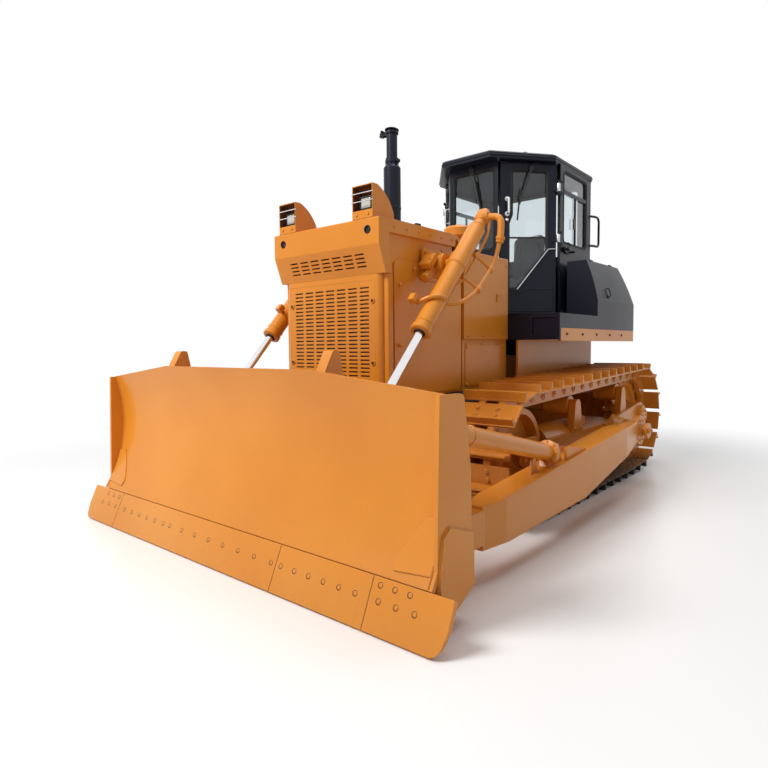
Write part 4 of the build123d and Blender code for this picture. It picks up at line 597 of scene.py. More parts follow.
for side in (-1, 1):
    out = (side, 0, 0)
    along = (0, side, 0)
    for y, z in ((-1.306, 2.033), (-1.480, 1.900), (-1.480, 1.450)):
        turned_on(latches, (side * HATCH_SIDE, y, z), out, HATCH_KNOB, 20)
    turned_on(latches, (side * 0.5486, -1.134, 2.188), out, HATCH_STUD, 18)
    grip = [(side * y, z) for y, z in PANEL_GRIP]
    add_plate(latches, (side * PANEL_SIDE, 0, 0), along, UPWARD, grip, 0.010, 0.002)
    for y in (-0.542, -0.280, -0.018, 0.130):
        hex_bolt(latches, (side * PANEL_SIDE, y, 1.530), out, 0.011, 0.011)
        hex_bolt(latches, (side * 0.5586, y, 1.455), out, 0.011, 0.011)
    for y in (-0.560, 0.130):
        hex_bolt(latches, (side * PANEL_SIDE, y, 2.190), out, 0.010, 0.010)
    for index in range(6):
        hex_bolt(latches, (side * PANEL_SIDE, -1.540 + index * 0.150, 2.318), out, 0.008, 0.008)
    add_plate(latches, (side * 0.5586, -0.215, 1.270), along, UPWARD, LOWER_COVER, 0.008, 0.003)
    for y in (-0.545, 0.115):
        for z in (1.105, 1.435):
            hex_bolt(latches, (side * 0.5666, y, z), out, 0.009, 0.010)
    stop = [(side * y, z) for y, z in SIDE_STOP]
    add_plate(stops, (side * 0.5486, 0, 0), along, UPWARD, stop, 0.024, 0.004)
    add_plate(stops, (side * 0.560, -1.235, 2.371), ACROSS, BACKWARD, TOP_STOP, 0.016, 0.003)
build("hood_latches", latches, orange_paint, "tractor", True)
build("hood_stops", stops, rubber, "tractor", True)

# Work lamps: a dark brown sheet inside each sheet-metal box that paints the shade of its interior, a fluted
# glass in a black bezel on the lamp, and two orange screws through the box's foot.
LAMP_FRONT, LAMP_LOW, LAMP_TOP = -1.709, 2.3714, 2.613
LAMP_FLOOR = LAMP_LOW + 0.060
LAMP_SIDES = (0.322, 0.509)
SHADE_SHEET_GAP = 0.002
LAMP_FACE, LAMP_MIDDLE = LAMP_FRONT + 0.045, (0.4155, LAMP_FLOOR + 0.0604)


def circle_through(a, b, c):
    """Centre and radius of the circle through three points of a plane."""
    (ax, ay), (bx, by), (cx, cy) = a, b, c
    d = 2 * (ax * (by - cy) + bx * (cy - ay) + cx * (ay - by))
    sa, sb, sc = ax * ax + ay * ay, bx * bx + by * by, cx * cx + cy * cy
    centre = Vector(((sa * (by - cy) + sb * (cy - ay) + sc * (ay - by)) / d,
                     (sa * (cx - bx) + sb * (ax - cx) + sc * (bx - ax)) / d))
    return centre, (centre - Vector(a)).length


lamp_glass, nodes, links, surface = shader("lamp_glass")
place = nodes.new("ShaderNodeTexCoord").outputs["Object"]
flute = add_node(nodes, "ShaderNodeTexWave", bands_direction="X")
flute.inputs["Scale"].default_value = 60
links.new(place, flute.inputs["Vector"])
bump = nodes.new("ShaderNodeBump")
bump.inputs["Strength"].default_value = 0.5
bump.inputs["Distance"].default_value = 0.002
links.new(flute.outputs["Fac"], bump.inputs["Height"])
links.new(bump.outputs["Normal"], surface.inputs["Normal"])
surface.inputs["Base Color"].default_value = (0.60, 0.58, 0.53, 1)
links.new(ramp(nodes, links, flute.outputs["Fac"], 0.0, 1.0, 0.10, 0.22), surface.inputs["Roughness"])
surface.inputs["Coat Weight"].default_value = 1.0

# The dark brown of the sheets inside the lamp boxes is painted shade.
BOX_SHADE_BROWN = (0.16, 0.052, 0.020, 1)
lamp_painted_shade = grained("lamp_painted_shade", BOX_SHADE_BROWN, 60, 3, (0.40, 0.55), shine=0.25)
FOOT_SCREW = [(0.011, -0.002), (0.011, 0.004), (0.008, 0.007)]
shade_sheets = bmesh.new()
bezels = bmesh.new()
lenses = bmesh.new()
screws = bmesh.new()
back = [(LAMP_FRONT + 0.055, LAMP_TOP), (LAMP_FRONT + 0.168, LAMP_TOP - 0.074),
        (LAMP_FRONT + 0.242, LAMP_LOW + 0.045)]
hub, reach = circle_through(*back)
inner = reach - 0.006 - SHADE_SHEET_GAP
top_z = LAMP_TOP - 0.006 - SHADE_SHEET_GAP
first = math.asin((top_z - hub.y) / inner)
last = math.asin((LAMP_FLOOR + SHADE_SHEET_GAP - hub.y) / inner)
turns = [first + (last - first) * i / 10 for i in range(11)]
curve = [(hub.x + inner * math.cos(turn), hub.y + inner * math.sin(turn)) for turn in turns]
section = [(LAMP_FRONT + 0.003, LAMP_FLOOR + SHADE_SHEET_GAP), (LAMP_FRONT + 0.003, top_z)] + curve
for side in (-1, 1):
    near, far = (side * x for x in (LAMP_SIDES[0] + SHADE_SHEET_GAP, LAMP_SIDES[1] - SHADE_SHEET_GAP))
    for x, thick in ((near, 0.001 * side), (far, -0.001 * side)):
        add_plate(shade_sheets, (x, 0, 0), BACKWARD, UPWARD, section, thick, 0.0002)
    sheet_rings = []
    for y, z in section[1:] + section[:1]:
        toward = (Vector((LAMP_FRONT + 0.06, LAMP_FLOOR + 0.06)) - Vector((y, z))).normalized() * 0.001
        in_y, in_z = y + toward.x, z + toward.y
        strip = ((near, y, z), (far, y, z), (far, in_y, in_z), (near, in_y, in_z))
        sheet_rings.append([shade_sheets.verts.new(corner) for corner in strip])
    skin_rings(shade_sheets, sheet_rings)
    x, z = LAMP_MIDDLE
    outline = soft_rectangle(0.119, 0.096, 0.015)
    hole = soft_rectangle(0.099, 0.076, 0.010)
    rings = []
    for shape, depth in ((outline, -0.004), (outline, 0.010), (hole, 0.012), (hole, 0.002)):
        rings.append([bezels.verts.new((side * x + px, LAMP_FACE - depth, z + pz)) for px, pz in shape])
    skin_rings(bezels, rings, capped=False)
    dome = []
    for grow, depth in ((1.0, 0.001), (1.0, 0.004), (0.8, 0.008), (0.4, 0.0105), (0.05, 0.011)):
        row = [(side * x + px * grow, LAMP_FACE - depth, z + pz * grow) for px, pz in hole]
        dome.append([lenses.verts.new(spot) for spot in row])
    skin_rings(lenses, dome)
    for step in (-0.055, 0.055):
        turned_on(screws, (side * x + step, LAMP_FRONT, LAMP_LOW + 0.030), AHEAD, FOOT_SCREW, 18)
build("lamp_box_shade_sheets", shade_sheets, lamp_painted_shade, "tractor")
build("lamp_bezels", bezels, engine_black, "tractor", True)
build("lamp_lenses", lenses, lamp_glass, "tractor", True)
build("lamp_screws", screws, orange_paint, "tractor", True)

# Exhaust and air pre-cleaner: a bolted flange, strap clamps and a hinged rain cap with its
# counterweight on the stack, and on the bowl a rolled lip, a clamp band and a wing nut.
# Black stack, orange bowl.
STACK_Y = -0.860
BOWL_SPOT = (0.400, -0.430)
CLAMP_LOW, CLAMP_WIDE = 3.040, 0.028
CLAMP_EAR = [(0.0, 0.0), (0.006, 0.0), (0.006, CLAMP_WIDE), (0.0, CLAMP_WIDE)]
RAIN_CAP = [(0.060, 0.002), (0.062, 0.004), (0.062, 0.009), (0.058, 0.012), (0.020, 0.016)]
CAP_HINGE = [(0, 0), (0.042, 0), (0.042, 0.024), (0.020, 0.040), (0, 0.040)]
COUNTERWEIGHT = [(0, 0), (0.026, 0), (0.036, 0.036), (0.006, 0.036)]
BOWL_LIP = [(0.1215, 0.0), (0.126, 0.003), (0.1275, 0.008), (0.126, 0.013), (0.1215, 0.016)]
WING_NUT = [(0.016, 0.0), (0.016, 0.004), (0.008, 0.006), (0.008, 0.020), (0.005, 0.023)]
NUT_WING = [(0.004, 0.008), (0.022, 0.016), (0.026, 0.026), (0.018, 0.029), (0.004, 0.018)]


def band(bm, spot, axis, root, crest, lip, wide, sides, bore=None):
    """A band or roller with eased edges: root radius at its ends, crest radius between the lips."""
    profile = [(root, 0.0), (crest, lip), (crest, wide - lip), (root, wide)]
    turned_on(bm, spot, axis, profile, sides, bore=bore)


stack = bmesh.new()
bolt_ring(stack, (0, STACK_Y, 2.4005), UPWARD, 0.110, 8, (0.010, 0.011))
band(stack, (0, STACK_Y, CLAMP_LOW), UPWARD, 0.0575, 0.0605, 0.002, CLAMP_WIDE, 36, bore=0.054)
for shift in (-0.012, 0.006):
    add_plate(stack, (0.052, STACK_Y + shift, CLAMP_LOW), BACKWARD, UPWARD, CLAMP_EAR, 0.030, 0.001)
for way in (-1, 1):
    hex_bolt(stack, (0.070, STACK_Y + way * 0.012, CLAMP_LOW + 0.014), (0, way, 0), 0.008, 0.008)
band(stack, (0, STACK_Y, 2.640), UPWARD, 0.0745, 0.0775, 0.003, 0.023, 40, bore=0.072)
stack_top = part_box("exhaust")[1].z
band(stack, (0, STACK_Y, stack_top - 0.030), UPWARD, 0.0545, 0.0585, 0.002, 0.024, 36, bore=0.052)
turned_on(stack, (0, STACK_Y, stack_top), (0, 0.10, 1), RAIN_CAP, 36)
for y in (STACK_Y - 0.030, STACK_Y + 0.018):
    add_plate(stack, (-0.098, y, stack_top - 0.030), ACROSS, UPWARD, CAP_HINGE, -0.010, 0.001)
band(stack, (-0.084, STACK_Y - 0.044, stack_top + 0.002), BACKWARD, 0.010, 0.012, 0.002, 0.086, 18)
add_plate(stack, (-0.125, STACK_Y - 0.022, stack_top - 0.034), ACROSS, UPWARD, COUNTERWEIGHT, -0.044, 0.003)
build("stack_clamp", stack, charcoal_paint, "tractor", True)
bowl = bmesh.new()
turned_on(bowl, (*BOWL_SPOT, 2.412), UPWARD, BOWL_LIP, 48)
band(bowl, (*BOWL_SPOT, 2.320), UPWARD, 0.0645, 0.0675, 0.002, 0.022, 36)
turned_on(bowl, (*BOWL_SPOT, 2.4995), UPWARD, WING_NUT, 20)
for side in (-1, 1):
    wing_foot = (BOWL_SPOT[0], BOWL_SPOT[1] + 0.003, 2.4995)
    add_plate(bowl, wing_foot, (side, 0, 0), UPWARD, NUT_WING, 0.006 * side, 0.001)
for index in range(6):
    angle = math.pi / 3 * index
    spot = (BOWL_SPOT[0] + 0.0745 * math.cos(angle), BOWL_SPOT[1] + 0.0745 * math.sin(angle), 2.2774)
    hex_bolt(bowl, spot, UPWARD, 0.007, 0.007)
build("bowl_fittings", bowl, orange_paint, "tractor", True)

# Lift cylinders: a dark wiper in each gland, a port boss with its elbow, and a bent steel pipe from
# the swivel block on the neck down to that port, held by two saddles. Painted with the barrel.
LIFT_PIVOT = Vector((0.830, -1.080, 2.080))
LIFT_DOWN = Vector((0, -1.075, -1.180)).normalized()
LIFT_BEHIND = Vector((0, -LIFT_DOWN.z, LIFT_DOWN.y))
PIPE_RADIUS, THIN_PIPE_RADIUS = 0.0175, 0.012
SWIVEL_ELBOW = [(0.882, -0.530, 0.0), (0.93, -0.545, 0.010), (0.985, -0.530, 0.030), (0.990, -0.460, 0.085),
                (0.985, -0.395, 0.135)]
LIFT_PIPE = [(0.982, -0.385, 0.143), (0.955, -0.310, 0.215), (0.950, -0.240, 0.230), (0.950, -0.060, 0.222),
             (0.945, 0.120, 0.200), (0.935, 0.240, 0.165), (0.900, 0.320, 0.125), (0.862, 0.365, 0.085),
             (0.840, 0.380, 0.055)]
THIN_PIPE = [(0.885, -0.520, 0.030), (0.890, -0.440, 0.075), (0.885, -0.340, 0.092), (0.880, -0.100, 0.095),
             (0.880, 0.080, 0.095), (0.870, 0.150, 0.075), (0.850, 0.175, 0.055)]
PORT_BAND = [(0.898, 0.409, -0.012), (0.895, 0.425, -0.050), (0.862, 0.455, -0.083), (0.800, 0.490, -0.094),
             (0.742, 0.520, -0.088)]
SADDLE_FOOT = [(0, 0), (0.036, 0), (0.036, 0.026), (0, 0.026)]
BAND_END = [(0, 0), (0.062, 0), (0.062, 0.05), (0, 0.05)]
LIFT_WIPER = [(0.043, -0.002), (0.043, 0.004), (0.037, 0.010)]
NECK_NUT = [(0.036, -0.006), (0.036, 0.008), (0.030, 0.016), (0.014, 0.018), (0.011, 0.026)]
ELBOW_NUT = [(0.036, -0.012), (0.036, 0.010), (0.030, 0.014), (0.030, 0.034), (0.020, 0.040)]
ELBOW_FLANGE = [(0.040, -0.004), (0.040, 0.014), (0.032, 0.018)]
PORT_BOSS = [(0.024, -0.010), (0.024, 0.012), (0.020, 0.016), (0.011, 0.016), (0.010, 0.010)]


def on_barrel(side, x, down, behind):
    """A place beside the lift barrel: across, along it from the trunnion, and behind it."""
    spot = LIFT_PIVOT + LIFT_DOWN * down + LIFT_BEHIND * behind
    return Vector((side * x, spot.y, spot.z))


def bent_tube(bm, points, radius, roundness=3):
    """A pipe along a smooth line that rounds off its corner points."""
    line = bpy.data.curves.new("pipe_line", "CURVE")
    line.dimensions = "3D"
    line.bevel_depth = radius
    line.bevel_resolution = roundness
    line.use_fill_caps = True
    spline = line.splines.new("NURBS")
    spline.points.add(len(points) - 1)
    for point, place in zip(spline.points, points):
        point.co = (*place, 1)
    spline.order_u = 3
    spline.use_endpoint_u = True
    spline.resolution_u = 6
    holder = bpy.data.objects.new("pipe_line", line)
    mesh = bpy.data.meshes.new_from_object(holder)
    bm.from_mesh(mesh)
    bpy.data.objects.remove(holder)
    bpy.data.meshes.remove(mesh)
    bpy.data.curves.remove(line)


def pipe_beside(bm, side, route, radius, roundness=3):
    """A pipe by its places beside the lift barrel."""
    bent_tube(bm, [on_barrel(side, *spot) for spot in route], radius, roundness)


for side, word in ((1, "left"), (-1, "right")):
    barrel = f"lift_barrel_{word}"
    wiper = bmesh.new()
    turned_on(wiper, on_barrel(side, 0.83, 0.7355, 0), LIFT_DOWN, LIFT_WIPER, 36, bore=0.0318)
    build(f"gland_wiper_{word}", wiper, rubber, barrel, True)
    pipes = bmesh.new()
    # swivel block on the neck, with its flanged elbow
    block = soft_rectangle(0.106, 0.106, 0.034, 6)
    neck = [Vector(corner).normalized() * 0.044 for corner in block]
    block_rings = []
    levels = ((block, 0.90, -0.588), (block, 1.0, -0.576), (block, 1.0, -0.490), (block, 0.90, -0.478),
              (neck, 1.0, -0.478), (neck, 1.0, -0.588))
    for outline, grow, down in levels:
        places = [on_barrel(side, 0.830 + u * grow, down, v * grow) for u, v in outline]
        block_rings.append([pipes.verts.new(spot) for spot in places])
    skin_rings(pipes, block_rings, capped=False)
    turned_on(pipes, on_barrel(side, 0.830, -0.600, 0), -LIFT_DOWN, NECK_NUT, 24)
    band(pipes, on_barrel(side, 0.830, -0.440, 0), LIFT_DOWN, 0.0505, 0.054, 0.003, 0.025, 32, bore=0.044)
    pipe_beside(pipes, side, SWIVEL_ELBOW, 0.027, 4)
    elbow_end = on_barrel(side, *SWIVEL_ELBOW[-1])
    elbow_way = (on_barrel(side, 0.97, -0.330, 0.185) - elbow_end).normalized()
    turned_on(pipes, elbow_end - elbow_way * 0.012, elbow_way, ELBOW_NUT, 24)
    turned_on(pipes, on_barrel(side, 0.874, -0.532, 0.0), (side, 0, 0), ELBOW_FLANGE, 24)
    bolt_ring(pipes, on_barrel(side, 0.888, -0.532, 0.0), (side, 0, 0), 0.034, 4, (0.007, 0.008), 0.6)
    pipe_beside(pipes, side, LIFT_PIPE, PIPE_RADIUS, 4)
    # second, thinner pipe close to the barrel
    pipe_beside(pipes, side, THIN_PIPE, THIN_PIPE_RADIUS)
    # saddles that carry the pipes
    for down, far in ((-0.165, 0.236), (0.085, 0.214)):
        stay = ((0.850, down, 0.062), (0.905, down, 0.110), (0.940, down, far - 0.02))
        pipe_beside(pipes, side, stay, 0.014)
        clip = on_barrel(side, 0.950, down - 0.020, far - 0.004)
        band(pipes, clip, LIFT_DOWN, 0.024, 0.026, 0.004, 0.044, 20)
        foot = on_barrel(side, 0.868, down - 0.018, 0.083)
        add_plate(pipes, foot, LIFT_DOWN, (side, 0, 0), SADDLE_FOOT, 0.024 * side, 0.003)
    # port boss with its pin and the half band round the barrel's front
    turned_on(pipes, on_barrel(side, 0.893, 0.409, -0.010), (side, 0, 0), PORT_BOSS, 24)
    pipe_beside(pipes, side, PORT_BAND, 0.017, 4)
    end_block = on_barrel(side, 0.715, 0.490, -0.112)
    add_plate(pipes, end_block, LIFT_DOWN, (side, 0, 0), BAND_END, 0.05 * side, 0.005)
    band(pipes, on_barrel(side, 0.83, 0.640, 0), LIFT_DOWN, 0.0695, 0.0735, 0.003, 0.021, 40, bore=0.068)
    build(f"lift_pipes_{word}", pipes, orange_paint, barrel, True)

# Lift brackets: each fabricated bracket on the hood carries a split bearing cap with two studs, a
# grease nipple, four bolts through its foot, and a bolted block with a stub horn.
BRACKET_Y, BRACKET_Z = -1.080, 2.080
GREASE_NIPPLE = [(0.007, 0.0), (0.007, 0.012), (0.004, 0.014), (0.004, 0.020), (0.006, 0.024),
                 (0.003, 0.028)]
STUB_HORN = [(0.034, -0.060), (0.034, 0.030), (0.040, 0.036), (0.040, 0.066), (0.034, 0.072),
             (0.014, 0.074)]
brackets = bmesh.new()
for side in (-1, 1):
    for sy in (-0.095, 0.095):
        for sz in (-0.100, 0.100):
            hex_bolt(brackets, (side * 0.5850, BRACKET_Y + sy, BRACKET_Z + sz), (side, 0, 0), 0.014, 0.014)
    cap_foot = (side * 0.665, BRACKET_Y, BRACKET_Z)
    band(brackets, cap_foot, (side, 0, 0), 0.0775, 0.082, 0.004, 0.044, 36, bore=0.075)
    for turn in (-0.35, 0.35):
        way = Vector((0, -math.sin(0.75 + turn), math.cos(0.75 + turn)))
        hex_bolt(brackets, Vector((side * 0.687, BRACKET_Y, BRACKET_Z)) + way * 0.081, way, 0.011, 0.016)
    turned_on(brackets, (side * 0.687, BRACKET_Y, BRACKET_Z + 0.078), UPWARD, GREASE_NIPPLE, 12)
    block = [(x * 0.72, z) for x, z in soft_rectangle(0.150, 0.118, 0.018)]
    block_foot = (side * 0.640, -1.190, 2.078)
    add_plate(brackets, block_foot, (side, 0, 0), (0, 0.66, 0.75), block, 0.052 * side, 0.007)
    for step in (-0.036, 0.036):
        hex_bolt(brackets, (side * (0.640 + step), -1.222, 2.106), (0, -0.75, 0.66), 0.012, 0.014)
    turned_on(brackets, (side * 0.640, -1.205, 2.000), (0, -0.80, -0.60), STUB_HORN, 24)
build("bracket_caps", brackets, orange_paint, "tractor", True)

# Blade: countersunk plough bolts hold the bolt-on edge and end bits, each head set to one side over a
# black disc that paints the shadow in its countersink; dark seams part its sections, pentagon wear plates
# follow the moldboard's face in its lower corners, and weld beads run where ribs and plates meet.
EDGE_FOOT = Vector((0, -2.800, 0.010))
EDGE_UP = Vector((0, 0.112, 0.252)).normalized()
EDGE_OUT = Vector((0, -EDGE_UP.z, EDGE_UP.y))
MOLD_CENTRE, MOLD_RADIUS = circle_through((-2.680, 0.262), (-2.515, 0.760), (-2.608, 1.310))
EDGE_SEAMS, SEAM_WIDE = (-1.365, 0.625, 1.365), 0.002
WEAR_CORNERS = [(1.598, 0.580), (1.696, 0.573), (1.696, 0.322), (1.468, 0.304), (1.460, 0.355)]
WEAR_THICK = 0.009


def mold_y(z):
    """The moldboard's face at a height."""
    return MOLD_CENTRE.x + math.sqrt(MOLD_RADIUS ** 2 - (z - MOLD_CENTRE.y) ** 2)


BOLT_SHADOW_DISC = [(0.0165, -0.004), (0.0165, 0.0006), (0.012, 0.0008)]
PLOUGH_HEAD = [(0.0125, -0.004), (0.0125, 0.0012), (0.0095, 0.0020), (0.003, 0.0022)]
plough = bmesh.new()
seams_and_shadows = bmesh.new()
row, upper_row = 0.158, 0.236
spots = [(-0.58 + 1.16 * i / 7, row) for i in range(8)]
for side in (-1, 1):
    spots += [(side * (0.670 + 0.120 * i), row) for i in range(6)]
    spots += [(side * x, row) for x in (1.430, 1.545, 1.660)]
    spots += [(side * x, upper_row) for x in (1.420, 1.515, 1.610)]
for x, rise in spots:
    spot = EDGE_FOOT + Vector((x, 0, 0)) + EDGE_UP * rise
    # A black disc under each head, with the head set 2 mm to one side, paints a shadow crescent in the
    # countersink.
    turned_on(seams_and_shadows, spot, EDGE_OUT, BOLT_SHADOW_DISC, 24)
    turned_on(plough, spot + EDGE_UP * 0.001 + Vector((0.002, 0, 0)), EDGE_OUT, PLOUGH_HEAD, 24)
for x in EDGE_SEAMS:
    near, far = x - SEAM_WIDE, x + SEAM_WIDE
    seam = [(near, 0.004), (far, 0.004), (far, 0.272), (near, 0.272)]
    add_plate(seams_and_shadows, EDGE_FOOT - EDGE_OUT * 0.002, ACROSS, EDGE_UP, seam, 0.0026, 0.0002)
build("plough_bolts", plough, edge_steel, "blade", True)
build("edge_seams_and_bolt_shadows", seams_and_shadows, engine_black, "blade", True)
wear = bmesh.new()
for side in (-1, 1):
    sheet = bmesh.new()
    sheet.faces.new([sheet.verts.new((side * x, 0, z)) for x, z in WEAR_CORNERS])
    for index in range(1, 10):
        geometry = sheet.verts[:] + sheet.edges[:] + sheet.faces[:]
        cut = (0, 0, 0.304 + 0.0276 * index)
        bmesh.ops.bisect_plane(sheet, geom=geometry, plane_co=cut, plane_no=UPWARD)
    for vert in sheet.verts:
        vert.co.y = mold_y(vert.co.z) - WEAR_THICK
    for drawn in bmesh.ops.extrude_face_region(sheet, geom=sheet.faces[:])["geom"]:
        if isinstance(drawn, bmesh.types.BMVert):
            drawn.co.y += WEAR_THICK + 0.002
    holder = bpy.data.meshes.new("wear_sheet")
    sheet.to_mesh(holder)
    sheet.free()
    wear.from_mesh(holder)
    bpy.data.meshes.remove(holder)
build("wear_plates", wear, edge_steel, "blade")


def weld_bead(bm, start, end, radius, step=0.007):
    """A rippled weld: a chain of overlapping rings along a seam."""
    start, end = Vector(start), Vector(end)
    length = (end - start).length
    count = max(int(length / step), 2)
    way = (end - start) / length
    profile = []
    for index in range(count + 1):
        swell = 1.0 + 0.16 * math.sin(index * 2.1)
        profile.append((radius * swell, length * index / count))
    turned_on(bm, start, way, profile, 6)


END_DOUBLER = [(-2.628, 0.265), (-2.595, 0.505), (-2.538, 0.545), (-2.322, 0.470), (-2.318, 0.190),
               (-2.508, 0.095), (-2.620, 0.215)]
welds = bmesh.new()
for side in (-1, 1):
    heights = [0.270 + 0.0925 * i for i in range(11)]
    for low_z, high_z in zip(heights, heights[1:]):
        start, end = ((side * 1.697, mold_y(z), z) for z in (low_z, high_z))
        weld_bead(welds, start, end, 0.006)
    for x in (0.724, 0.936):
        weld_bead(welds, (side * x, -2.330, 0.705), (side * x, -2.330, 0.860), 0.006)
    for (y0, z0), (y1, z1) in zip(END_DOUBLER, END_DOUBLER[1:] + END_DOUBLER[:1]):
        weld_bead(welds, (side * 1.7245, y0, z0), (side * 1.7245, y1, z1), 0.006)
build("blade_welds", welds, orange_paint, "blade", True)

# Push arms and brace: an upright lug on each arm, gussets beside the brace's ring and bolts in it,
# bolted pads at the trunnions, beads along the box section's corners, and a clevis on the blade's
# back that takes the right arm's tongue.
ARM_MIDDLE, ARM_EDGE = 1.500, 1.598
ARM_LUG = [(-0.050, 0.0), (0.050, 0.0), (0.022, 0.100), (-0.012, 0.112), (-0.030, 0.090)]
ARM_GUSSET = [(-0.060, -0.006), (0.330, 0.020), (0.300, 0.034), (0.020, 0.085), (-0.060, 0.095)]
LUG_Y, GUSSET_Y = -1.158, -0.700
PAD_STEPS, PAD_RADIUS = 32, 0.122
TRUNNION_DISC = [(PAD_RADIUS * math.cos(2 * math.pi * step / PAD_STEPS),
                  PAD_RADIUS * math.sin(2 * math.pi * step / PAD_STEPS)) for step in range(PAD_STEPS)]


def arm_top(y):
    """Height of the arm's top plate."""
    return 0.487 + (y + 1.940) / 2.420 * 0.205


for side, word, brace_side in ((1, "left", True), (-1, "right", False)):
    body = "blade" if brace_side else "push_arm_right"
    fittings = bmesh.new()
    lug_foot = (side * ARM_MIDDLE - 0.010, LUG_Y, arm_top(LUG_Y) - 0.004)
    add_plate(fittings, lug_foot, BACKWARD, UPWARD, ARM_LUG, 0.020, 0.003)
    if brace_side:
        for x in (ARM_MIDDLE - 0.075, ARM_MIDDLE + 0.055):
            foot = (side * x, GUSSET_Y, arm_top(GUSSET_Y))
            add_plate(fittings, foot, BACKWARD, UPWARD, ARM_GUSSET, 0.018, 0.003)
    # disc on the outer face round the trunnion, and its bolts
    add_plate(fittings, (side * 1.460, *TRUNNION_SPOT), (0, side, 0), UPWARD, TRUNNION_DISC, 0.006, 0.002)
    bolt_ring(fittings, (side * 1.466, *TRUNNION_SPOT), (side, 0, 0), 0.106, 8, (0.010, 0.011), 0.39)
    for (y0, z0), (y1, z1) in (((-1.700, arm_top(-1.700)), (0.470, arm_top(0.470))),
                               ((-1.700, 0.2285), (-0.440, 0.2545))):
        weld_bead(fittings, (side * ARM_EDGE, y0, z0), (side * ARM_EDGE, y1, z1), 0.005)
    build(f"arm_fittings_{word}", fittings, orange_paint, body, True)
# clevis on the blade's back, with room round the right arm's tongue for the tilt
arm_points = [vert.co for vert in frame["nodes"]["push_arm_right"].data.vertices]
tongue_front = min(point.y for point in arm_points)
tongue = [point for point in arm_points if point.y < tongue_front + 0.010]
tongue_low, tongue_high = min(p.z for p in tongue), max(p.z for p in tongue)
CLEVIS_ROOM, CLEVIS_PLATE, CLEVIS_BACK = 0.044, 0.024, -2.335
CLEVIS_PIN = [(0.045, -0.001), (0.045, 0.012), (0.038, 0.018), (0.012, 0.018), (0.010, 0.026)]
clevis = bmesh.new()
fork = [(-0.170, CLEVIS_BACK), (0.170, CLEVIS_BACK), (0.105, tongue_front + 0.050),
        (0.060, tongue_front + 0.095), (-0.060, tongue_front + 0.095), (-0.105, tongue_front + 0.050)]
for z, thick in ((tongue_high + CLEVIS_ROOM, CLEVIS_PLATE), (tongue_low - CLEVIS_ROOM, -CLEVIS_PLATE)):
    add_plate(clevis, (-ARM_MIDDLE, 0, z), ACROSS, BACKWARD, fork, thick, 0.004)
    pin_axis = (0, 0, math.copysign(1, thick))
    turned_on(clevis, (-ARM_MIDDLE, tongue_front + 0.036, z + thick), pin_axis, CLEVIS_PIN, 28)
build("arm_clevis", clevis, orange_paint, "blade", True)
BRACE_REAR, BRACE_WAY = Vector((1.500, -0.870, 0.650)), Vector((0, -1.320, 0.310)).normalized()
ring = bmesh.new()
bolt_ring(ring, BRACE_REAR + BRACE_WAY * 0.085, BRACE_WAY, 0.074, 8, (0.007, 0.009))
band(ring, BRACE_REAR + BRACE_WAY * 1.160, BRACE_WAY, 0.0595, 0.064, 0.003, 0.019, 32)
for x in (-0.030, 0.030):
    for z in (-0.045, 0.045):
        hex_bolt(ring, (1.545, -2.190 + x * 2.2, 0.960 + z), ACROSS, 0.011, 0.012)
build("brace_bolts", ring, orange_paint, "blade", True)

# Tilt cylinder: a wiper in the gland, a steel pipe along the barrel with two clips, and retaining
# plates on the pin through its rear eye.
TILT_REAR = Vector((-1.500, -0.870, 0.650))
TILT_GLAND, TILT_ROD = 1.0259, 0.038
TILT_PIPE = [(0.150, 0.070), (0.150, 0.125), (0.200, 0.125), (0.800, 0.125), (0.850, 0.125), (0.850, 0.070)]
CLIP_WIDE = 0.024
CLIP_STAND = [(0, 0), (CLIP_WIDE, 0), (CLIP_WIDE, CLIP_WIDE), (0, CLIP_WIDE)]
TILT_WIPER = [(0.066, -0.002), (0.066, 0.003), (0.050, 0.008)]
TILT_PORT = [(0.022, 0.0), (0.022, 0.014), (0.017, 0.018), (0.017, 0.034)]
PIN_PLATE = [(0.036, -0.001), (0.036, 0.006), (0.030, 0.010), (0.010, 0.010), (0.008, 0.014)]
wiper = bmesh.new()
turned_on(wiper, TILT_REAR + BRACE_WAY * TILT_GLAND, BRACE_WAY, TILT_WIPER, 32, bore=TILT_ROD + 0.001)
build("tilt_wiper", wiper, rubber, "tilt_barrel", True)
over = Vector((0, BRACE_WAY.z, -BRACE_WAY.y))
tilt_pipe = bmesh.new()
bent_tube(tilt_pipe, [TILT_REAR + BRACE_WAY * s + over * r for s, r in TILT_PIPE], 0.011, 4)
for s in (0.320, 0.660):
    spot = TILT_REAR + BRACE_WAY * s
    band(tilt_pipe, spot, BRACE_WAY, 0.0795, 0.083, 0.002, CLIP_WIDE, 36, bore=0.078)
    turned_on(tilt_pipe, spot + over * 0.122, BRACE_WAY, [(0.018, 0.0), (0.018, CLIP_WIDE)], 18)
    stand = spot + over * 0.078 + Vector((-0.012, 0, 0))
    add_plate(tilt_pipe, stand, BRACE_WAY, ACROSS, CLIP_STAND, 0.034, 0.001)
for s in (TILT_PIPE[0][0], TILT_PIPE[-1][0]):
    turned_on(tilt_pipe, TILT_REAR + BRACE_WAY * s + over * 0.074, over, TILT_PORT, 20)
build("tilt_pipe", tilt_pipe, orange_paint, "tilt_barrel", True)
pin_plates = bmesh.new()
for way in (-1, 1):
    turned_on(pin_plates, TILT_REAR + Vector((way * 0.075, 0, 0)), (way, 0, 0), PIN_PLATE, 24)
build("tilt_pin_plates", pin_plates, orange_paint, "push_arm_right", True)

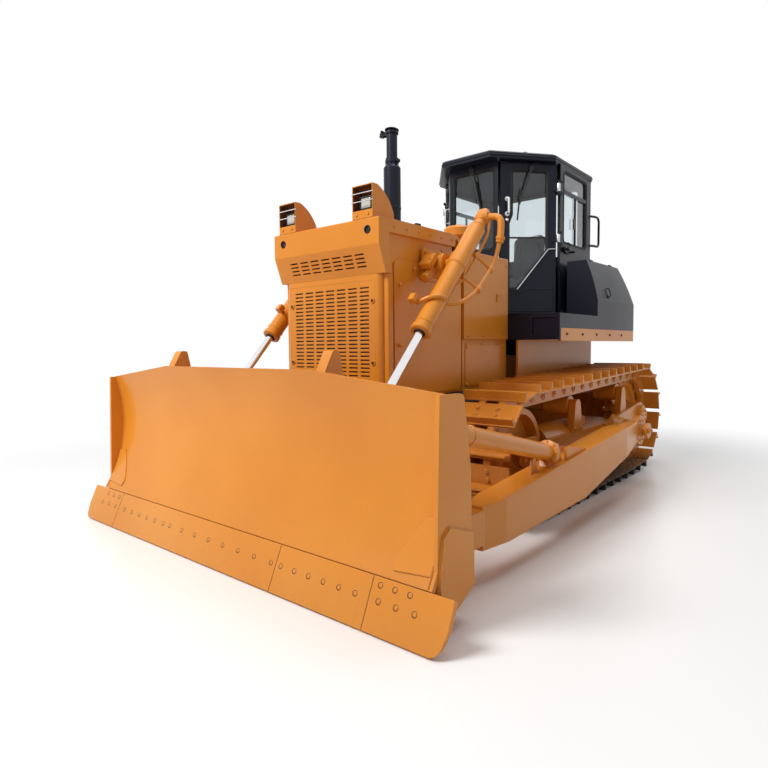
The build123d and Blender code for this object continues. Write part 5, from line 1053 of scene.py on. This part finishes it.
# Window glass: flat tempered panes, faintly blue-grey, held in black rubber channels whose lips lap
# the glass and the cab's sheet. The channels follow the outline of each packed pane.
SEAL_LIP = [(-0.014, 0.0005), (-0.015, 0.006), (-0.009, 0.014), (0.002, 0.0225), (0.010, 0.0225),
            (0.0135, 0.0180), (0.002, 0.0160)]
GLASS_TINT = (0.80, 0.85, 0.87, 1)

glass, nodes, links, surface = shader("window_glass")
surface.inputs["Base Color"].default_value = GLASS_TINT
surface.inputs["Roughness"].default_value = 0.02
surface.inputs["IOR"].default_value = 1.45
surface.inputs["Transmission Weight"].default_value = 1.0
coat_nodes(glass, "window_glass")


def pane_outlines(node):
    """Outline, and outward direction, of the outer face of each pane in a glass node."""
    bm = bmesh.new()
    bm.from_mesh(frame["nodes"][node].data)
    bmesh.ops.remove_doubles(bm, verts=bm.verts, dist=1e-5)
    bmesh.ops.dissolve_limit(bm, angle_limit=0.02, verts=bm.verts, edges=bm.edges)
    middle = Vector((0, 1.25, 0))
    found = []
    for face in bm.faces:
        outward = face.calc_center_bounds() - middle
        if face.calc_area() > 0.12 and face.normal.dot(Vector((outward.x, outward.y, 0))) > 0:
            found.append(([vert.co.copy() for vert in face.verts], face.normal.copy()))
    bm.free()
    return found


def add_seal(bm, outline, outward):
    """A rubber channel round a pane: its lip section carried along the outline."""
    count = len(outline)
    rings = []
    for index, point in enumerate(outline):
        before, after = outline[index - 1], outline[(index + 1) % count]
        sides = [(point - before).normalized().cross(outward), (after - point).normalized().cross(outward)]
        aside = (sides[0] + sides[1]).normalized()
        aside /= max(aside.dot(sides[0]), 0.5)
        rings.append([bm.verts.new(point + aside * wide + outward * rise) for wide, rise in SEAL_LIP])
    skin_rings(bm, rings, capped=False)


seals = bmesh.new()
for outline, outward in pane_outlines("cab_glass"):
    add_seal(seals, outline, outward)
build("cab_seals", seals, rubber, "tractor", True)
for word in ("left", "right"):
    door_seal = bmesh.new()
    for outline, outward in pane_outlines(f"door_glass_{word}"):
        add_seal(door_seal, outline, outward)
    build(f"door_seal_{word}", door_seal, rubber, f"door_{word}", True)

# Doors: polished hinge barrels and grip, a round lock, a slim bar across the glass, a bright rail
# along its slanted edge, a pressed rib in the lower panel, and a pantograph wiper on each.
HINGE_CORNER = Vector((0.720, 1.020, 0))
DOOR_ALONG = Vector((-0.430, -0.540, 0)).normalized()
DOOR_OUT = Vector((-DOOR_ALONG.y, DOOR_ALONG.x, 0))
GRIP_ALONG, HINGE_TALL = 0.590, 0.081
DOOR_GRIP = [(0.004, 2.790), (0.045, 2.790), (0.0455, 2.800), (0.0455, 2.930), (0.045, 2.940),
             (0.004, 2.940)]
GRIP_ROSE = [(0.024, -0.001), (0.024, 0.004), (0.017, 0.008)]
DOOR_LOCK = [(0.016, -0.001), (0.016, 0.006), (0.013, 0.009), (0.003, 0.009), (0.003, 0.006)]
GLASS_RAIL = [(0.480, 2.022), (0.465, 2.042), (0.150, 2.425), (0.138, 2.440), (0.110, 2.444),
              (0.060, 2.446)]
PANEL_RIB = [(0.070, 1.800), (0.070, 1.830), (0.070, 2.000), (0.070, 2.030), (0.100, 2.032), (0.380, 2.026),
             (0.420, 2.000), (0.570, 1.960), (0.600, 1.940), (0.600, 1.830), (0.600, 1.800), (0.570, 1.800),
             (0.100, 1.800), (0.070, 1.800)]
WIPER_HUB = [(0.030, 0.0), (0.030, 0.018), (0.022, 0.026), (0.008, 0.026), (0.008, 0.038)]
# Wiper black is paler at its edges: partly thin coat, partly a painted highlight.
WIPER_DEEP, WIPER_THIN_SHEEN = (0.009, 0.009, 0.010, 1), (0.04, 0.04, 0.042, 1)
wiper_black = painted("wiper_black", RUBBER_BLACK, WIPER_DEEP, WIPER_THIN_SHEEN, dust_top=0.1, shine=0.3)


def on_door(side, along, out, z):
    """A place on a door by its distance from the hinge corner and from the door's face."""
    spot = HINGE_CORNER + DOOR_ALONG * along + DOOR_OUT * out
    return Vector((side * spot.x, spot.y, z))


def flat_bar(bm, start, end, face, wide, thick):
    """A flat strip from one place to another, lying on a face."""
    start, end, face = Vector(start), Vector(end), Vector(face).normalized()
    way = (end - start).normalized()
    length = (end - start).length
    aside = way.cross(face)
    outline = [(0, -wide), (length, -wide), (length, 0), (0, 0)]
    add_plate(bm, start - aside * wide / 2, way, -aside, outline, -thick, thick * 0.25)


for side, word in ((1, "left"), (-1, "right")):
    body = f"door_{word}"
    out = Vector((side * DOOR_OUT.x, DOOR_OUT.y, 0))
    bright = bmesh.new()
    for z in (2.555, 3.075):
        hinge_foot = on_door(side, 0.030, 0.016, z - HINGE_TALL / 2)
        band(bright, hinge_foot, UPWARD, 0.0185, 0.0195, 0.002, HINGE_TALL, 24)
    bent_tube(bright, [on_door(side, GRIP_ALONG, d, z) for d, z in DOOR_GRIP], 0.0125, 4)
    for z in (DOOR_GRIP[0][1], DOOR_GRIP[-1][1]):
        turned_on(bright, on_door(side, GRIP_ALONG, 0.0, z), out, GRIP_ROSE, 24)
    turned_on(bright, on_door(side, GRIP_ALONG, 0.0, 2.730), out, DOOR_LOCK, 20)
    bent_tube(bright, [on_door(side, a, 0.010, z) for a, z in GLASS_RAIL], 0.0055)
    build(f"door_brightwork_{word}", bright, bright_steel, body, True)
    trim = bmesh.new()
    bar_ends = [on_door(side, a, -0.017, z) for a, z in ((0.150, 2.562), (0.566, 2.552))]
    flat_bar(trim, *bar_ends, out, 0.018, 0.008)
    hub = on_door(side, 0.330, 0.004, 3.262)
    turned_on(trim, hub - out * 0.006, out, WIPER_HUB, 24)
    foot = on_door(side, 0.455, 0.012, 2.900)
    for shift in (-0.012, 0.012):
        rise = Vector((0, 0, shift))
        flat_bar(trim, hub + out * 0.022 + rise, foot + rise, out, 0.009, 0.005)
    blade_ends = [on_door(side, a, 0.000, z) for a, z in ((0.440, 3.060), (0.475, 2.730))]
    flat_bar(trim, *blade_ends, out, 0.012, 0.014)
    build(f"door_wiper_{word}", trim, wiper_black, body)
    rib = bmesh.new()
    bent_tube(rib, [on_door(side, a, -0.001, z) for a, z in PANEL_RIB], 0.006)
    build(f"door_rib_{word}", rib, charcoal_paint, body, True)

# Cab front and sides: a twin-arm wiper on the windscreen, a hold-back catch with its loops behind
# each door, a latch on each sliding pane, and bolted feet along the walls.
SCREEN_FACE = 0.480
SCREEN_HUB = [(0.032, -0.001), (0.032, 0.014), (0.024, 0.022), (0.009, 0.022), (0.009, 0.034)]
CATCH_HOOK = [(0.722, 1.170, 2.450), (0.765, 1.170, 2.455), (0.770, 1.165, 2.480), (0.768, 1.160, 2.520),
              (0.740, 1.150, 2.525)]
CATCH_LOOP = [(0.722, 1.235, 2.440), (0.770, 1.235, 2.440), (0.775, 1.270, 2.450), (0.770, 1.300, 2.440),
              (0.718, 1.300, 2.440)]
BLADE_TOP, BLADE_FOOT = (0.030, 3.160), (0.118, 2.700)
CATCH_POST = [(0.030, -0.020), (0.030, 0.006), (0.016, 0.010), (0.016, 0.034), (0.024, 0.038),
              (0.024, 0.050), (0.018, 0.054)]
screen_wiper = bmesh.new()
turned_on(screen_wiper, (-0.015, SCREEN_FACE, 3.288), AHEAD, SCREEN_HUB, 24)
for shift in (-0.014, 0.014):
    top = (-0.015 + shift, SCREEN_FACE - 0.026, 3.288)
    foot = (0.062 + shift, SCREEN_FACE - 0.014, 2.930)
    flat_bar(screen_wiper, top, foot, AHEAD, 0.010, 0.005)
for behind, wide, thick in ((-0.004, 0.014, 0.012), (0.012, 0.006, 0.016)):
    ends = [(x, SCREEN_FACE + behind, z) for x, z in (BLADE_TOP, BLADE_FOOT)]
    flat_bar(screen_wiper, *ends, AHEAD, wide, thick)
build("screen_wiper", screen_wiper, wiper_black, "tractor")
cab_trim = bmesh.new()
for side in (-1, 1):
    turned_on(cab_trim, (side * 0.735, 1.120, 2.455), (side, 0, 0), CATCH_POST, 22)
    add_plate(cab_trim, (side * 0.7145, 1.200, 2.440), (0, side, 0), UPWARD,
              soft_rectangle(0.11, 0.05, 0.012), 0.014, 0.003)
    for route in (CATCH_HOOK, CATCH_LOOP):
        bent_tube(cab_trim, [(side * x, y, z) for x, y, z in route], 0.008)
    add_plate(cab_trim, (side * 0.7085, 1.390, 2.760), (0, side, 0), UPWARD,
              soft_rectangle(0.030, 0.120, 0.010), 0.012, 0.003)
    for index in range(7):
        spot = (side * (0.7190 - 0.0032 * index), 1.080 + 0.130 * index, 1.800)
        hex_bolt(cab_trim, spot, (side, 0, 0), 0.009, 0.010)
for side in (-1, 1):
    for z in (1.850, 2.020, 2.190, 2.360):
        hex_bolt(cab_trim, (side * 0.262, SCREEN_FACE, z), AHEAD, 0.008, 0.009)
build("cab_trim", cab_trim, wiper_black, "tractor", True)

# Roof: a rolled rim laid round the shell's lid, a vent knob, and two lifting eyes,
# all in the cab's charcoal paint.
ROOF_PLAN = [(0.283, 0.324), (0.720, 0.900), (0.706, 1.915)]
RIM_CORNER = [(0.004, 0.0), (0.0085, 0.004), (0.0085, 0.013), (0.004, 0.017)]
VENT_KNOB = [(0.038, -0.004), (0.038, 0.006), (0.024, 0.010), (0.024, 0.024), (0.034, 0.030),
             (0.030, 0.040), (0.010, 0.044)]
LIFTING_EYE = [(1.640, 3.396), (1.640, 3.440), (1.680, 3.452), (1.720, 3.440), (1.720, 3.396)]
EYE_FOOT = [(0.024, -0.003), (0.024, 0.005), (0.014, 0.010)]
roof = bmesh.new()
plan = ROOF_PLAN + [(-x, y) for x, y in reversed(ROOF_PLAN)]
rim = [Vector((x, y, 3.352)) for x, y in plan]
for here, after in zip(rim, rim[1:] + rim[:1]):
    bent_tube(roof, [here, (here + after) / 2, after], 0.0085)
for corner in rim:
    turned_on(roof, corner - Vector((0, 0, 0.0085)), UPWARD, RIM_CORNER, 12)
turned_on(roof, (0.430, 0.780, 3.398), UPWARD, VENT_KNOB, 28)
for side in (-1, 1):
    bent_tube(roof, [(side * 0.48, y, z) for y, z in LIFTING_EYE], 0.010)
    for y in (LIFTING_EYE[0][0], LIFTING_EYE[-1][0]):
        turned_on(roof, (side * 0.48, y, 3.398), UPWARD, EYE_FOOT, 20)
build("roof_fittings", roof, charcoal_paint, "tractor", True)

# Cab inside: a dark headliner on the roof's underside, a ribbed floor mat, an instrument panel with
# blank dials, rubber boots and knobs on the levers, and a foot pedal each side.
LINING_DARK = (0.020, 0.020, 0.024, 1)
lining = grained("headliner_cloth", LINING_DARK, 700, 3, (0.75, 0.95), (0.3, 0.001), shine=0.15)
INSIDE_PLAN = [(0.225, 0.545), (0.655, 1.060), (0.640, 1.835)]
DIAL_RIM = [(0.028, -0.006), (0.028, 0.008), (0.024, 0.011), (0.022, 0.006)]
LEVER_KNOB = [(0.014, 0.0), (0.020, 0.008), (0.027, 0.024), (0.028, 0.040), (0.022, 0.056), (0.008, 0.064)]
LEVER_BOOT = [(0.052, -0.004), (0.052, 0.006), (0.040, 0.014), (0.043, 0.022), (0.034, 0.030),
              (0.036, 0.038), (0.026, 0.046), (0.020, 0.060)]
MAT_RIB = soft_rectangle(0.40, 0.016, 0.006)
liner = bmesh.new()
plan = INSIDE_PLAN + [(-x, y) for x, y in reversed(INSIDE_PLAN)]
add_plate(liner, (0, 0, 3.319), ACROSS, AHEAD, [(x, -y) for x, y in reversed(plan)], 0.030, 0.012)
build("headliner", liner, lining, "tractor")
mat = bmesh.new()
add_plate(mat, (0, 0, 1.7602), ACROSS, BACKWARD, plan, 0.008, 0.003)
for index in range(14):
    add_plate(mat, (0, 0.640 + index * 0.045, 1.768), ACROSS, BACKWARD, MAT_RIB, 0.004, 0.002)
build("floor_mat", mat, rubber, "tractor")
panel = bmesh.new()
dash = [(0.560, 1.768), (0.660, 1.768), (0.700, 2.180), (0.690, 2.330), (0.600, 2.400), (0.555, 2.390)]
rows = []
for x in (-0.205, -0.200, 0.200, 0.205):
    pull = 0.006 if abs(x) > 0.2 else 0.0
    rows.append([panel.verts.new((x, y + (0.62 - y) * pull * 10, z + (2.1 - z) * pull)) for y, z in dash])
skin_rings(panel, rows)
build("dash_panel", panel, lining, "tractor")
dials = bmesh.new()
for x in (-0.140, -0.070, 0.0, 0.070, 0.140):
    turned_on(dials, (x, 0.648, 2.362), (0, 0.62, 0.78), DIAL_RIM, 28)
build("dash_dials", dials, bright_steel, "tractor", True)
knobs = bmesh.new()
for side in (-1, 1):
    top = Vector((side * 0.400, 1.200, 2.5604))
    way = Vector((side * -0.015, -0.060, 0.245)).normalized()
    turned_on(knobs, top - way * 0.030, way, LEVER_KNOB, 24)
    base = Vector((side * 0.4145, 1.258, 2.3204))
    turned_on(knobs, base, way, LEVER_BOOT, 24)
    pedal_x = side * 0.110 - 0.050
    pedal = soft_rectangle(0.09, 0.13, 0.02)
    add_plate(knobs, (pedal_x, 0.800, 1.900), ACROSS, (0, 0.5, 0.86), pedal, 0.014, 0.004)
    bent_tube(knobs, [(pedal_x, y, z) for y, z in ((0.790, 1.885), (0.730, 1.850), (0.690, 1.850))], 0.010)
build("lever_knobs", knobs, rubber, "tractor", True)

# Operator's seat: two foam cushions in black grained vinyl on a steel pedestal. Each is blown up by a
# cloth simulation, then creased along its sewn channels and edged with piping.
VINYL_BLACK = (0.016, 0.016, 0.018, 1)
vinyl = grained("seat_vinyl", VINYL_BLACK, 420, 3, (0.42, 0.6), (0.2, 0.001))
coat_nodes(vinyl, "seat_cover")

SWELL_CAP = 0.024
FOAM_PRESSURE, FOAM_FRAMES = 4.0, 20
CHANNEL_ASIDE, CHANNEL_DEPTH, CHANNEL_WIDTH = 0.085, 0.009, 0.007
BACK_LEAN = math.radians(83.2)
WELT_STEPS, WELT_HEIGHT = 56, 0.72
piping = bmesh.new()


def settle(piece):
    """Applies a piece's modifiers to its mesh."""
    graph = bpy.context.evaluated_depsgraph_get()
    shaped = bpy.data.meshes.new_from_object(piece.evaluated_get(graph))
    old = piece.data
    piece.modifiers.clear()
    piece.data = shaped
    bpy.data.meshes.remove(old)


def puffed(name, corners, high, lean, origin):
    """A cushion: a soft slab blown up by cloth pressure, creased along its channels, then placed."""
    bm = bmesh.new()
    rows = []
    for shrink, z in ((0.020, 0.0), (0.0, 0.018), (0.0, high - 0.018), (0.020, high)):
        grow = 1 - shrink / 0.24
        rows.append([bm.verts.new((x * grow, y * grow, z)) for x, y in corners])
    skin_rings(bm, rows)
    bmesh.ops.recalc_face_normals(bm, faces=bm.faces)
    mesh = bpy.data.meshes.new(name)
    bm.to_mesh(mesh)
    bm.free()
    piece = bpy.data.objects.new(name, mesh)
    scene.collection.objects.link(piece)
    bpy.context.view_layer.objects.active = piece
    weave = piece.modifiers.new("even_mesh", "REMESH")
    weave.mode = "VOXEL"
    weave.voxel_size = 0.009
    settle(piece)
    before = [vert.co.copy() for vert in piece.data.vertices]
    cloth = piece.modifiers.new("foam", "CLOTH")
    cloth.settings.use_pressure = True
    cloth.settings.uniform_pressure_force = FOAM_PRESSURE
    cloth.settings.effector_weights.gravity = 0.0
    for step in range(1, FOAM_FRAMES + 1):
        scene.frame_set(step)
    settle(piece)
    for vert, old in zip(piece.data.vertices, before):
        moved = vert.co - old
        if moved.length > SWELL_CAP:
            vert.co = old + moved.normalized() * SWELL_CAP
        vert.co.z = max(vert.co.z, 0.0)
    scene.frame_set(1)
    for vert in piece.data.vertices:
        if vert.co.z > high * 0.5:
            near = min(abs(vert.co.x - line) for line in (-CHANNEL_ASIDE, CHANNEL_ASIDE))
            vert.co.z -= CHANNEL_DEPTH * math.exp(-(near / CHANNEL_WIDTH) ** 2)
    smooth = piece.modifiers.new("smooth", "SUBSURF")
    smooth.levels = smooth.render_levels = 1
    settle(piece)
    place = Matrix.Translation(origin) @ Matrix.Rotation(lean, 4, "X")
    welt = []
    girth = [vert.co.xy for vert in piece.data.vertices if abs(vert.co.z - high * WELT_HEIGHT) < 0.008]
    for step in range(WELT_STEPS):
        angle = 2 * math.pi * step / WELT_STEPS
        way = Vector((math.cos(angle), math.sin(angle)))
        reach = max(spot.length for spot in girth if spot.normalized().dot(way) > 0.9985)
        welt.append(place @ Vector((way.x * reach, way.y * reach, high * WELT_HEIGHT)))
    bent_tube(piping, welt + welt[:2], 0.0045)
    piece.data.transform(place)
    piece.data.materials.clear()
    piece.data.materials.append(vinyl)
    piece.data.polygons.foreach_set("use_smooth", [True] * len(piece.data.polygons))
    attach(piece, "tractor")
    return piece


cushion = puffed("seat_cushion", soft_rectangle(0.450, 0.450, 0.070), 0.115, 0.0, (0, 1.500, 2.094))
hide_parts("seat")
puffed("seat_back", soft_rectangle(0.430, 0.520, 0.070), 0.065, BACK_LEAN, (0, 1.790, 2.520))
build("seat_piping", piping, vinyl, "tractor", True)
pedestal = bmesh.new()
for index in range(5):
    fold = 0.38 - 0.02 * (index % 2)
    add_plate(pedestal, (0, 1.525, 1.768 + 0.060 * index), ACROSS, BACKWARD,
              soft_rectangle(fold, fold, 0.03), 0.062, 0.008)
add_plate(pedestal, (0, 1.510, 2.066), ACROSS, BACKWARD, soft_rectangle(0.44, 0.44, 0.05), 0.026, 0.004)
for side in (-1, 1):
    flat_bar(pedestal, (side * 0.16, 1.742, 2.080), (side * 0.16, 1.809, 2.640), BACKWARD, 0.040, 0.010)
build("seat_pedestal", pedestal, engine_black, "tractor")

# Fenders, boxes and tank: a blank framed panel on each fender's front, ribbed treads on the deck,
# pull handles and hinges on the boxes, and a filler cap, two lifting rails and bolts on the tank.
fender = bmesh.new()
treads = bmesh.new()
handles = bmesh.new()
FILLER_CAP = [(0.075, -0.006), (0.075, 0.008), (0.060, 0.014), (0.060, 0.030), (0.070, 0.034),
              (0.070, 0.052), (0.062, 0.060), (0.020, 0.062)]
DECK_TREAD = soft_rectangle(0.42, 0.028, 0.010)
PANEL_SCREW = [(0.006, -0.001), (0.006, 0.002), (0.004, 0.003)]
BORDER = soft_rectangle(0.252, 0.192, 0.020)
INNER_BORDER = soft_rectangle(0.228, 0.168, 0.012)
BOX_PULL = [(-0.045, 0.004), (-0.045, 0.026), (-0.020, 0.030), (0.020, 0.030), (0.045, 0.026),
            (0.045, 0.004)]
LIFT_RAIL = [(-0.090, -0.004), (-0.090, 0.050), (-0.060, 0.056), (0.060, 0.056), (0.090, 0.050),
             (0.090, -0.004)]
HINGE_LEAF = soft_rectangle(0.080, 0.060, 0.008)
TANK_SLANT = Vector((0, 0.420, 0.200)).normalized()
for side in (-1, 1):
    rings = []
    for shape, depth in ((BORDER, 0.0), (BORDER, 0.005), (INNER_BORDER, 0.005), (INNER_BORDER, -0.009)):
        rings.append([fender.verts.new((side * 0.945 + x, 0.170 - depth, 1.615 + z)) for x, z in shape])
    skin_rings(fender, rings, capped=False)
    for x in (-0.118, 0.118):
        for z in (-0.088, 0.088):
            turned_on(fender, (side * 0.945 + x, 0.165, 1.615 + z), AHEAD, PANEL_SCREW, 12)
    weld_bead(fender, (side * 0.580, 0.1695, 1.7335), (side * 1.098, 0.1695, 1.7335), 0.003)
    for index in range(9):
        tread_foot = (side * 0.850, 0.240 + index * 0.085, 1.735)
        add_plate(treads, tread_foot, ACROSS, BACKWARD, DECK_TREAD, 0.004, 0.0015)
    for y in (0.330, 0.700, 1.070, 1.440, 1.810):
        hex_bolt(fender, (side * 1.100, y, 1.545), (side, 0, 0), 0.010, 0.010)
    # pull handle on the box's sloping side
    slope_out = Vector((side * 0.420, 0, 0.125)).normalized()
    slope_up = Vector((side * -0.125, 0, 0.420)).normalized()
    spot = Vector((side * 1.0770, 1.420, 1.992))
    add_plate(handles, spot, (0, side, 0), slope_up, soft_rectangle(0.055, 0.130, 0.012), 0.006, 0.002)
    bent_tube(handles, [spot + slope_up * u + slope_out * o for u, o in BOX_PULL], 0.006)
    for y in (1.220, 1.780):
        turned_on(handles, (side * 0.970, y - 0.035, 2.3205), BACKWARD, [(0.011, 0.0), (0.011, 0.070)], 16)
        add_plate(handles, (side * 0.925, y, 2.3200), ACROSS, BACKWARD, HINGE_LEAF, 0.004, 0.001)
filler = Vector((0.520, 2.120, 2.110))
turned_on(handles, filler, TANK_SLANT, FILLER_CAP, 36)
for side, rail_x in ((-1, -0.480), (1, 0.120)):
    rail = [Vector((rail_x + x, filler.y, filler.z)) + TANK_SLANT * h for x, h in LIFT_RAIL]
    bent_tube(handles, rail, 0.010, 4)
    for x in (0.20, 0.50, 0.80, 1.00):
        hex_bolt(handles, (side * x, 2.220, 1.640), BACKWARD, 0.012, 0.012)
build("fender_trim", fender, charcoal_paint, "tractor", True)
build("deck_treads", treads, rubber, "tractor")
build("tank_fittings", handles, charcoal_paint, "tractor", True)
